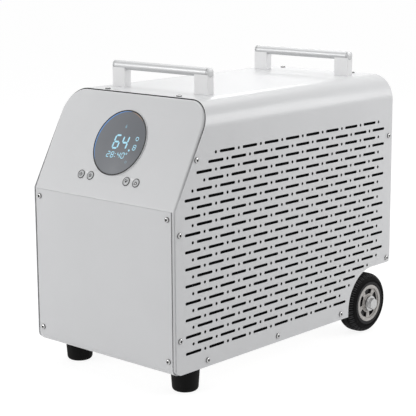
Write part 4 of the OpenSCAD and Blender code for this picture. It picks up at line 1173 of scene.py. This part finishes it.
class ScrewTree:
    """Node tree that sets a screw head on each point, its axis along the point's outward direction."""

    def __init__(self):
        kinds = (("Points", "Geometry"), ("Head", "Object"), ("Plating", "Material"), ("Seed", "Int"))
        self.group, tree, given = new_group("screw_heads", kinds, "Screws")
        outward = tree.add("GeometryNodeInputNamedAttribute", {"Name": "outward"}, data_type="FLOAT_VECTOR")
        upright = tree.add("FunctionNodeAlignRotationToVector", {"Vector": outward.outputs[0]}, axis="Z")
        limits = {3: math.pi / 2, "Seed": given["Seed"]}
        chance = tree.add("FunctionNodeRandomValue", limits, data_type="FLOAT")
        spin = tree.add("FunctionNodeAxisAngleToRotation", {"Axis": (0, 0, 1), "Angle": chance.outputs[1]})
        both = {"Rotation": upright.outputs[0], "Rotate By": spin.outputs[0]}
        turn = tree.add("FunctionNodeRotateRotation", both, rotation_space="LOCAL")
        head = tree.add("GeometryNodeObjectInfo", {"Object": given["Head"]}, transform_space="ORIGINAL")
        spots = {"Points": given["Points"], "Instance": head.outputs["Geometry"]}
        heads = tree.add("GeometryNodeInstanceOnPoints", {**spots, "Rotation": turn.outputs[0]})
        tree.end(heads.outputs[0], given["Plating"], "Screws")


class MACHINE_OT_screws(bpy.types.Operator):
    """Sets a pan head with a cross-shaped hollow on every screw place, with painted shade in the cross and
    round the foot
    """

    bl_idname = "machine.screws"
    bl_label = "Casing screws"

    # reach of the cross, half the width of its arms and its height, at the top and at the bottom
    MOUTH = (2.35, 0.7, 2.4)
    FLOOR = (1.7, 0.5, 1.0)
    # distances from the axis where the head's shadows change
    CROSS_R = 2.45
    RIM_R = 3.7
    FOOT_R = 4.1

    def execute(self, context):
        head = self.make_head()
        spots = screw_places()
        mesh = bpy.data.meshes.new("casing_screws")
        mesh.from_pydata([tuple(place) for place, _ in spots], [], [])
        outward = mesh.attributes.new("outward", "FLOAT_VECTOR", "POINT")
        outward.data.foreach_set("vector", [c for _, direction in spots for c in direction])
        screws = bpy.data.objects.new("casing_screws", mesh)
        context.scene.collection.objects.link(screws)
        modifier = screws.modifiers.new("Screw heads", "NODES")
        modifier.node_group = ScrewTree().group
        set_inputs(modifier, {"Head": head, "Plating": FINISHES["screw_steel"], "Seed": 7})
        bake(screws)
        bpy.data.objects.remove(head)
        finish_piece(screws, "casing", "screw_steel", "case_screws")
        return {"FINISHED"}

    def make_head(self):
        """Pan head with a cross-shaped hollow, its foot on the ground plane."""
        count = 24
        rings = ((4.25, -0.3), (4.25, 0.55), (4.17, 1.05), (3.85, 1.6), (3.3, 2.02), (2.7, 2.28))
        turns = [2.0 * math.pi * (k + 0.5) / count for k in range(count)]
        points = []
        for radius, height in rings:
            points += [Vector((radius * math.cos(a), radius * math.sin(a), height)) for a in turns]
        faces = [list(reversed(range(count)))]
        for r in range(len(rings) - 1):
            for k in range(count):
                n = (k + 1) % count
                faces.append([r * count + k, r * count + n, (r + 1) * count + n, (r + 1) * count + k])
        rim = list(range((len(rings) - 1) * count, len(rings) * count))
        start = len(points)
        points += self.cross(*self.MOUTH) + self.cross(*self.FLOOR)
        mouth = list(range(start, start + 12))
        floor = list(range(start + 12, start + 24))
        numbers = rim + mouth
        for face in tessellate_polygon([[points[i] for i in rim], [points[i] for i in mouth]]):
            faces.append([numbers[i] for i in face])
        for k in range(12):
            n = (k + 1) % 12
            faces.append([mouth[k], mouth[n], floor[n], floor[k]])
        for face in tessellate_polygon([[points[i] for i in floor]]):
            faces.append([floor[i] for i in face])
        head = new_piece("screw_head", [p * MM for p in points], faces, FINISHES["screw_steel"])
        close_up(head)
        # painted shade: dark in the cross and round the foot
        mark(head, "recess", [self.depth(v.co) for v in head.data.vertices])
        split(head, 40.0)
        return bake(head)

    def cross(self, tip, half, height):
        """Outline of a cross, anticlockwise."""
        points = []
        for k in range(4):
            turn = Matrix.Rotation(math.pi / 2 * k, 3, "Z")
            for x, y in ((tip, -half), (tip, half), (half, half)):
                points.append(turn @ Vector((x, y, height)))
        return points

    def depth(self, place):
        """How much painted shade a point of the head gets: full in the cross, and less round the foot."""
        across = math.hypot(place.x, place.y) / MM
        if across > self.RIM_R:
            return 0.85 if across > self.FOOT_R else 0.3
        return 1.0 if across < self.CROSS_R else 0.0


# ---- Handles ----

HANDLES = (("front", 130.565), ("rear", 472.0))
GRIP_Z = 423.0


class MACHINE_OT_handle_rods(bpy.types.Operator):
    """Turns the two grip rods with their end caps"""

    bl_idname = "machine.handle_rods"
    bl_label = "Handle rods"

    def execute(self, context):
        turn = Matrix.Rotation(math.pi / 2, 4, "Y")
        cap = [(0.0, 96.0), (5.9, 96.0), (5.9, 97.3), (6.6, 97.3), (7.0, 97.7), (7.0, 99.2)]
        cap += [(6.75, 99.75), (6.2, 100.0), (0.0, 100.0)]
        tube = [(0.0, -96.4), (6.5, -96.4), (7.0, -95.9), (7.0, 95.9), (6.5, 96.4), (0.0, 96.4)]
        for end, depth in HANDLES:
            place = Matrix.Translation(body_point(0.0, depth, GRIP_Z)) @ turn @ Matrix.Scale(MM, 4)
            parts = [turned(tube, 48, place)]
            parts += [turned([(r, side * z) for r, z in cap], 48, place) for side in (-1.0, 1.0)]
            name = end + "_handle_rod"
            make_piece("grip_" + end, parts, "satin_alloy", "casing", "shell_paint", name, crisp=35.0)
        return {"FINISHED"}


class MACHINE_OT_handle_posts(bpy.types.Operator):
    """Makes the four posts that carry the grip rods in round saddles"""

    bl_idname = "machine.handle_posts"
    bl_label = "Handle posts"

    WIDE = 27.0
    DEEP = 13.2
    SADDLE_R = 7.03
    XS = (-86.5, 86.5)

    def execute(self, context):
        casing = context.scene.casing
        low, half = casing.height / MM - 0.02, self.DEEP / 2
        reach = math.degrees(math.asin((half - 0.4) / self.SADDLE_R))
        shoulder = GRIP_Z - self.SADDLE_R * math.cos(math.radians(reach))
        for end, depth in HANDLES:
            loop = [(depth - half, low), (depth + half, low), (depth + half, shoulder)]
            loop += arc(depth, GRIP_Z, self.SADDLE_R, -90 + reach, -90 - reach, 14)
            loop += [(depth - half, shoulder)]
            parts = [slab(loop, -self.WIDE / 2, self.WIDE / 2, side_frame(x)) for x in self.XS]
            points, faces = gather(parts)
            posts = close_up(new_piece("post_" + end, points, faces, FINISHES["post_paint"]))
            bevel(posts, 0.45, 2, 50.0)
            even_normals(posts)
            bake(posts)
            finish_piece(posts, "casing", "shell_paint", end + "_handle_posts")
        return {"FINISHED"}


# ---- Painted shade in the gap between the shell and the front sheet ----


class MACHINE_OT_seam_shade_strip(bpy.types.Operator):
    """Lays a black strip in the gap between the shell and the front sheet, as painted shade in the seam"""

    bl_idname = "machine.seam_seal"
    bl_label = "Seam seal"

    def execute(self, context):
        casing = context.scene.casing
        half, bend_z = casing.width / MM / 2, (casing.height - casing.bend) / MM
        outer, inner = casing.skin / MM + 0.03, casing.tuck / MM + 0.05
        radius = casing.bend / MM
        spots = [(half, z, 1.0, 0.0) for z in (16.0, 120.0, 236.0, 300.0)]
        for k in range(17):
            a = math.radians(90.0 * k / 16)
            spots.append((half - radius, bend_z, math.cos(a), math.sin(a)))
        points, faces = [], []
        rows = []
        for side in (1.0, -1.0):
            for x, z, mx, mz in spots if side > 0 else spots[::-1]:
                rows.append(self.section(casing, side, x, z, (mx, mz), radius, outer, inner))
        for row in rows:
            points += row
        for k in range(len(rows) - 1):
            for i in range(4):
                n = (i + 1) % 4
                faces.append([4 * k + i, 4 * k + n, 4 * k + 4 + n, 4 * k + 4 + i])
        last = 4 * (len(rows) - 1)
        faces += [[0, 1, 2, 3], [last + 3, last + 2, last + 1, last]]
        # painted shade: the near-black strip darkens the seam's shadow
        make_piece("seam_seal", [(points, faces)], "seal_rubber", "casing", "black_rubber")
        return {"FINISHED"}

    def section(self, casing, side, x, z, direction, radius, outer, inner):
        """Four corners of the strip at one place of the edge."""
        mx, mz = direction
        reach = radius if mz or x < casing.width / MM / 2 - 1.0 else 0.0
        row = []
        for depth, inset in ((0.9, outer), (0.9, inner), (6.0, inner), (6.0, outer)):
            px = x + (reach - inset) * mx
            pz = z + (reach - inset) * mz
            lift = set_back() if pz > casing.kink / MM else 0.9
            row.append(body_point(side * px, lean(pz) + lift + depth, pz))
        return row


# ---- Display ----

#      top, upper right, lower right, bottom, lower left, upper left, middle
DIGITS = {
    "0": "1111110",
    "2": "1101101",
    "4": "0110011",
    "6": "1011111",
    "8": "1111111",
}


class MACHINE_OT_display(bpy.types.Operator):
    """Lights plain digits and a two-coloured arc on the display"""

    bl_idname = "machine.display"
    bl_label = "Display"

    OUT = 1.84
    SLANT = 0.09
    GLASS_R = 49.5
    ARC_STEPS = 48

    def execute(self, context):
        self.add_ring()
        big = self.number("64", -13.4, 77.6, 13.2, 23.2, 17.0, 2.9)
        small = self.number("8", 29.6, 79.4, 6.4, 8.8, 8.0, 1.25)
        row = self.number("28", -18.6, 64.0, 6.4, 9.6, 8.3, 1.25)
        row += self.number("40", 3.2, 64.6, 6.4, 9.6, 8.3, 1.25)
        marks = [self.dot(24.2, 78.7, 1.7), self.ring(33.6, 97.6, 3.3, 1.15), self.dot(-0.6, 71.0, 0.75)]
        marks += [self.dot(-0.9, 66.4, 0.75), self.ring(21.6, 73.2, 1.5, 0.8)]
        self.lit("display_digits", big + small + row + marks, "digit_light")
        self.lit("display_marks", [self.drop(3.4, 113.4), self.ring(25.5, 60.5, 1.9, 0.7)], "faint_light")
        self.lit("blue_arc", [self.crescent(84.0, 219.0, 1.75)], "blue_light")
        self.lit("orange_arc", [self.crescent(48.0, 83.0, 0.8)], "orange_light")
        return {"FINISHED"}

    def add_ring(self):
        """Dark ring round the glass, and the glass's own edge inside it."""
        place = console_frame(0.0, DISPLAY_UP)
        edge = [(48.95, 0.3), (49.75, 0.3), (49.75, 1.78), (48.95, 1.78)]
        rim = [(51.85, 0.02), (52.2, 0.02), (52.2, 0.15), (52.05, 1.6), (51.85, 1.7)]
        ring = [(49.8, 0.3), (51.8, 0.3), (51.8, 1.78), (51.65, 1.88), (49.8, 1.88)]
        for name, profile, finish, slot, nodes in (
            ("display_edge", edge, "display_glass", "display_glass", ()),
            ("display_rim", rim, "panel_paint", "panel_paint", ()),
            ("display_ring", ring, "ring_black", "black_plastic", ("display_bezel",)),
        ):
            make_piece(name, [turned(profile, 96, place)], finish, "casing", slot, *nodes, crisp=30.0)

    def lit(self, name, loops, finish):
        place = console_frame(0.0, 0.0)
        parts = [slab(loop, self.OUT - 0.16, self.OUT, place) for loop in loops]
        make_piece(name, parts, finish, "casing", "display_glass")

    def number(self, text, x, up, wide, tall, pitch, stroke):
        """Loops of the lit segments of a number in seven-segment digits."""
        loops = []
        for place, digit in enumerate(text):
            left = x + place * pitch
            for bar, lit in zip(self.bars(wide, tall, stroke), DIGITS[digit]):
                if lit == "1":
                    loops.append([(left + u + v * self.SLANT, up + v + u * 0.05) for u, v in bar])
        return loops

    def bars(self, wide, tall, stroke):
        """Seven bars with pointed ends."""
        h, gap, mid = stroke / 2, stroke * 0.14, tall / 2
        left, right, low, top = h, wide - h, h, tall - h
        across = [(left, right, top), (left, right, low), (left, right, mid)]
        upright = [(right, mid, top), (right, low, mid), (left, low, mid), (left, mid, top)]
        flat = []
        for a, b, v in across:
            a, b = a + gap, b - gap
            flat.append([(a, v), (a + h, v - h), (b - h, v - h), (b, v), (b - h, v + h), (a + h, v + h)])
        tall_bars = []
        for u, a, b in upright:
            a, b = a + gap, b - gap
            tall_bars.append([(u, a), (u + h, a + h), (u + h, b - h), (u, b), (u - h, b - h), (u - h, a + h)])
        return [flat[0], tall_bars[0], tall_bars[1], flat[1], tall_bars[2], tall_bars[3], flat[2]]

    def dot(self, x, up, radius):
        return arc(x, up, radius, 0, 345, 23)

    def ring(self, x, up, radius, stroke):
        """Ring with a hair-thin slit, so that one loop bounds it."""
        outer = arc(x, up, radius, 1, 359, 30)
        return outer + arc(x, up, radius - stroke, 359, 1, 30)

    def drop(self, x, up):
        """Small pointed drop."""
        return [(x, up + 4.6)] + arc(x, up, 1.7, 20, -200, 16)

    def crescent(self, start, end, width):
        """Arc along the glass's rim that is widest at its middle."""
        outer, inner = [], []
        for k in range(self.ARC_STEPS + 1):
            a = math.radians(start + (end - start) * k / self.ARC_STEPS)
            thin = 0.12 + width * math.sin(math.pi * k / self.ARC_STEPS) ** 0.7
            for line, radius in ((outer, self.GLASS_R), (inner, self.GLASS_R - thin)):
                line.append((radius * math.cos(a), DISPLAY_UP + radius * math.sin(a)))
        return outer + inner[::-1]


# ---- Buttons ----


class MACHINE_OT_button_rings(bpy.types.Operator):
    """Turns the dark rings round the buttons and prints a plain sign on each cap"""

    bl_idname = "machine.button_rings"
    bl_label = "Button rings"

    CAP_OUT = 1.0

    def execute(self, context):
        ring = [(5.65, 0.02), (6.85, 0.02), (6.85, 0.45), (6.6, 0.75), (5.65, 0.75)]
        collar = [(4.85, -0.3), (5.7, -0.3), (5.7, 0.62), (5.5, 0.72), (4.85, 0.4)]
        places = [console_frame(x, BUTTON_UP) for x in BUTTON_XS]
        for name, profile, finish, nodes in (
            ("button_rings", ring, "dark_ring", ("button_bezels",)),
            ("button_collars", collar, "button_plastic", ()),
        ):
            parts = [turned(profile, 40, place) for place in places]
            make_piece(name, parts, finish, "casing", "chrome_ring", *nodes, crisp=35.0)
        for sign, place in zip(("power", "mode", "down", "up"), places):
            low, high = self.CAP_OUT - 0.1, self.CAP_OUT + 0.06
            parts = [slab(loop, low, high, place) for loop in getattr(self, sign)()]
            make_piece(sign + "_sign", parts, "icon_ink", sign + "_cap", "black_plastic")
        return {"FINISHED"}

    def bar(self, x0, y0, x1, y1, stroke):
        along = Vector((x1 - x0, y1 - y0)).normalized()
        side = Vector((-along.y, along.x)) * stroke / 2
        return [
            (x0 - side.x, y0 - side.y),
            (x1 - side.x, y1 - side.y),
            (x1 + side.x, y1 + side.y),
            (x0 + side.x, y0 + side.y),
        ]

    def power(self):
        bow = arc(0.0, -0.2, 2.7, 125, 415, 30) + arc(0.0, -0.2, 1.5, 415, 125, 30)
        return [bow, self.bar(0.0, 0.0, 0.0, 2.9, 1.1)]

    def mode(self):
        bow = arc(0.0, 0.0, 2.7, 20, 190, 24) + arc(0.0, 0.0, 1.7, 190, 20, 24)
        low = arc(0.0, 0.0, 2.7, 205, 365, 24) + arc(0.0, 0.0, 1.7, 365, 205, 24)
        return [bow, low, arc(0.0, 0.0, 1.0, 0, 345, 15)]

    def down(self):
        fork = [(-3.0, 0.9), (0.0, -2.7), (3.0, 0.9)]
        return [fork, self.bar(-2.6, 2.2, 2.6, 2.2, 1.0)]

    def up(self):
        fork = [(-2.9, -0.7), (-2.0, -1.5), (0.0, 0.9), (2.0, -1.5), (2.9, -0.7), (0.0, 2.8)]
        return [fork, self.bar(-2.4, -2.3, 2.4, -2.3, 0.9)]


# ---- Wheels ----

WHEEL_X = 129.0


class MACHINE_OT_wheels(bpy.types.Operator):
    """Moulds the notched tyres, with painted highlights on their rubbed lug edges, and the hubs with painted
    shade in their openings
    """

    bl_idname = "machine.wheels"
    bl_label = "Wheels"

    LUGS = 36
    TURN = math.radians(36.0)
    # the hub's outer face and the two radii of its openings
    FACE, OPEN_IN, OPEN_OUT = 14.3, 13.6, 26.4
    # where across a lug's pitch the rings of points stand
    SHARES = (-0.125, -0.095, 0.095, 0.125, 0.375, 0.405, 0.595, 0.625)
    # across, radius, how far a notch goes in across and in radius, and how much the surface is rubbed and
    # lit, as painted highlight
    HALF = (
        (0.0, 50.0, 0.0, 0.0, 0.02),
        (4.1, 50.0, 0.0, 0.0, 0.08),
        (4.1, 48.4, 0.0, 0.0, 0.0),
        (5.7, 48.4, 0.0, 0.0, 0.0),
        (5.7, 49.9, 0.0, 0.0, 0.08),
        (7.6, 49.65, 0.0, 0.0, 0.04),
        (8.1, 49.6, 0.3, 2.0, 0.03),
        (10.2, 48.9, 0.8, 2.1, 0.05),
        (12.0, 48.0, 1.3, 1.9, 0.06),
        (14.0, 46.0, 1.8, 1.5, 0.05),
        (15.2, 44.3, 1.8, 0.8, 0.03),
        (15.7, 43.5, 0.0, 0.0, 0.04),
        (16.5, 41.5, 0.0, 0.0, 0.03),
        (16.9, 39.8, 0.0, 0.0, 0.05),
        (16.3, 39.2, 0.0, 0.0, 0.0),
        (16.3, 36.4, 0.0, 0.0, 0.0),
        (17.0, 35.6, 0.0, 0.0, 0.3),
        (17.0, 32.6, 0.0, 0.0, 0.3),
        (16.0, 31.05, 0.0, 0.0, 0.05),
    )

    def execute(self, context):
        for side, name in ((1.0, "right"), (-1.0, "left")):
            self.add_tyre(side, name)
            self.add_hub(side, name)
        return {"FINISHED"}

    def place(self, side, across, radius, angle):
        y = ARCH_Y + radius * math.cos(angle)
        return body_point(side * (WHEEL_X + across), y, ARCH_Z + radius * math.sin(angle))

    def add_tyre(self, side, name):
        profile = [(u, r, du, dr, w, 0.0) for u, r, du, dr, w in self.HALF[::-1]]
        profile += [(-u, r, -du, dr, w, 0.5) for u, r, du, dr, w in self.HALF[1:]]
        period = 2.0 * math.pi / self.LUGS
        points, wear = [], []
        for k in range(self.LUGS):
            for share in self.SHARES:
                for u, r, du, dr, worn_and_lit, shift in profile:
                    off = abs(share - shift)
                    deep = 1.0 if off < 0.1 and dr else 0.0
                    # the edges of the notches get a strong painted highlight
                    edge = dr > 0.0 and 0.1 < off < 0.13
                    angle = (k + share) * period
                    points.append(self.place(side, u - deep * du, r - deep * dr, angle))
                    wear.append(0.0 if deep else min(1.0, worn_and_lit * 14.0) if edge else worn_and_lit)
        count, rings = len(profile), self.LUGS * len(self.SHARES)
        faces = []
        for a in range(rings):
            b = (a + 1) % rings
            for i in range(count):
                n = (i + 1) % count
                faces.append([a * count + i, a * count + n, b * count + n, b * count + i])
        tyre = new_piece("tyre_" + name, points, faces, FINISHES["tyre_rubber"])
        mark(tyre, "wear", wear)
        close_up(tyre, None)
        split(tyre, 34.0)
        bake(tyre)
        finish_piece(tyre, name + "_wheel", "tyre_rubber", "wheel_tyre_" + name)

    def add_hub(self, side, name):
        """The CAD hub, turned a little about its axle, with painted shade inside its openings."""
        node = NODES["wheel_hub_" + name]
        axis = self.place(side, 0.0, 0.0, 0.0)
        turn = Matrix.Translation(axis) @ Matrix.Rotation(self.TURN, 4, "X") @ Matrix.Translation(-axis)
        points = [turn @ (node.matrix_world @ v.co) for v in node.data.vertices]
        faces = [list(p.vertices) for p in node.data.polygons]
        hub = new_piece("hub_" + name, points, faces, FINISHES["hub_plastic"])
        add_modifier(hub, "WELD", merge_threshold=JOIN)
        bevel(hub, 0.4)
        bake(hub)
        # painted shade: dark inside the openings
        mark(hub, "recess", [self.depth(side, v.co - axis) for v in hub.data.vertices])
        split(hub, 32.0)
        bake(hub)
        finish_piece(hub, name + "_wheel", "hub_plastic", "wheel_hub_" + name)

    def depth(self, side, off):
        """Share of painted shade: 1 inside the openings of the hub, 0 on its faces."""
        across = side * off.x / MM
        radius = math.hypot(off.y, off.z) / MM
        return 1.0 if across < self.FACE and self.OPEN_IN < radius < self.OPEN_OUT else 0.0


# ---- CAD nodes that keep their shape ----

DRESSED = {
    ("zinc_steel", 0.0): "base_pan handle_screws",
    ("zinc_steel", 0.1): "console_standoffs",
    ("zinc_steel", 0.2): "foot_screws",
    ("zinc_steel", 0.3): "axle_spacers fan_bracket",
    ("zinc_steel", 0.4): "axle_brackets",
    ("steel", 0.3): "axle_rod",
    ("steel", 0.4): "axle_end_bolts",
    ("screw_steel", 0.0): "case_screws",
    ("port_steel", 0.2): "water_ports",
    ("panel_paint", 0.0): "front_frame",
    ("panel_paint", 0.5): "front_cover",
    ("shell_paint", 0.0): "top_shell side_grille_right side_grille_left rear_panel"
    " front_handle_rod rear_handle_rod",
    ("post_paint", 0.6): "front_handle_posts rear_handle_posts",
    ("filter_mat", 0.0): "dust_screen_right dust_screen_left",
    ("black_rubber", 0.0): "foot_left foot_right",
    ("black_rubber", 0.5): "compressor_grommets",
    ("hub_plastic", 0.4): "wheel_hub_left wheel_hub_right",
    ("tyre_rubber", 0.0): "wheel_tyre_left wheel_tyre_right",
    ("bush_plastic", 0.3): "wheel_bush_left wheel_bush_right",
    ("display_glass", 0.2): "display_lens",
    ("board_green", 0.0): "console_board",
    ("chrome_ring", 0.1): "button_bezels",
    ("button_plastic", 0.0): "power_button mode_button down_button up_button",
    ("black_plastic", 0.0): "display_bezel",
    ("black_plastic", 0.2): "button_switches",
    ("black_plastic", 0.3): "power_inlet rocker_switch_body rocker_switch_key",
    ("black_plastic", 0.4): "display_module port_nuts",
    ("black_plastic", 1.0): "control_box",
    ("fin_black", 0.0): "condenser",
    ("black_paint", 0.0): "fan_shroud",
    ("black_paint", 0.3): "suction_accumulator",
    ("black_paint", 0.6): "compressor",
    ("black_paint", 0.8): "fan_motor",
    ("fan_plastic", 0.3): "fan_blade",
    ("valve_brass", 0.2): "reversing_valve",
    ("copper_pipe", 0.0): "refrigerant_pipes",
    ("copper_pipe", 0.3): "filter_drier",
    ("tank_plastic", 0.8): "heat_exchanger",
    ("pump_plastic", 0.6): "circulation_pump",
    ("filter_plastic", 0.6): "water_filter",
    ("hose_rubber", 0.0): "water_hoses",
}


class MACHINE_OT_dress(bpy.types.Operator):
    """Gives every CAD node its finish and softens its edges"""

    bl_idname = "machine.dress"
    bl_label = "Dress the CAD nodes"

    def execute(self, context):
        make_finishes()
        names = " ".join(DRESSED.values()).split()
        missing = sorted(set(NODES) - set(names))
        if missing:
            raise RuntimeError("no finish for " + ", ".join(missing))
        for (finish, edge), group in DRESSED.items():
            for name in group.split():
                self.dress(NODES[name], finish, edge)
        return {"FINISHED"}

    def dress(self, node, finish, edge):
        node.data.materials.clear()
        node.data.materials.append(FINISHES[finish])
        node.data.polygons.foreach_set("use_smooth", [True] * len(node.data.polygons))
        add_modifier(node, "WELD", merge_threshold=JOIN)
        if edge:
            bevel(node, edge)
        split(node, 32.0)


# ---- Panel and running ----

OPERATORS = (
    MACHINE_OT_stage,
    MACHINE_OT_dress,
    MACHINE_OT_outer_shell,
    MACHINE_OT_front_sheet,
    MACHINE_OT_front_cover,
    MACHINE_OT_screws,
    MACHINE_OT_handle_rods,
    MACHINE_OT_handle_posts,
    MACHINE_OT_seam_shade_strip,
    MACHINE_OT_display,
    MACHINE_OT_button_rings,
    MACHINE_OT_wheels,
)


class MACHINE_PT_panel(bpy.types.Panel):
    """Lists the steps that build the machine"""

    bl_idname = "MACHINE_PT_panel"
    bl_label = "Hot cold therapy machine"
    bl_space_type = "VIEW_3D"
    bl_region_type = "UI"
    bl_category = "Machine"

    def draw(self, context):
        for step in OPERATORS:
            self.layout.operator(step.bl_idname, text=step.bl_label)
        scene = context.scene
        for group in (scene.casing, scene.pattern, scene.finishes, scene.stage):
            box = self.layout.box()
            for key in group.bl_rna.properties.keys():
                if key not in {"rna_type", "name"}:
                    box.prop(group, key)


CLASSES = (CasingSizes, PatternSizes, FinishSettings, StageSettings, *OPERATORS, MACHINE_PT_panel)


def register():
    for cls in CLASSES:
        bpy.utils.register_class(cls)
    bpy.types.Scene.casing = bpy.props.PointerProperty(type=CasingSizes)
    bpy.types.Scene.pattern = bpy.props.PointerProperty(type=PatternSizes)
    bpy.types.Scene.finishes = bpy.props.PointerProperty(type=FinishSettings)
    bpy.types.Scene.stage = bpy.props.PointerProperty(type=StageSettings)


def unregister():
    del bpy.types.Scene.stage
    del bpy.types.Scene.finishes
    del bpy.types.Scene.pattern
    del bpy.types.Scene.casing
    for cls in reversed(CLASSES):
        bpy.utils.unregister_class(cls)


def main():
    register()
    bpy.ops.machine.stage()
    bpy.ops.machine.dress()
    bpy.ops.machine.outer_shell()
    bpy.ops.machine.front_sheet()
    bpy.ops.machine.front_cover()
    bpy.ops.machine.screws()
    bpy.ops.machine.handle_rods()
    bpy.ops.machine.handle_posts()
    bpy.ops.machine.seam_seal()
    bpy.ops.machine.display()
    bpy.ops.machine.button_rings()
    bpy.ops.machine.wheels()


if __name__ == "__main__":
    main()
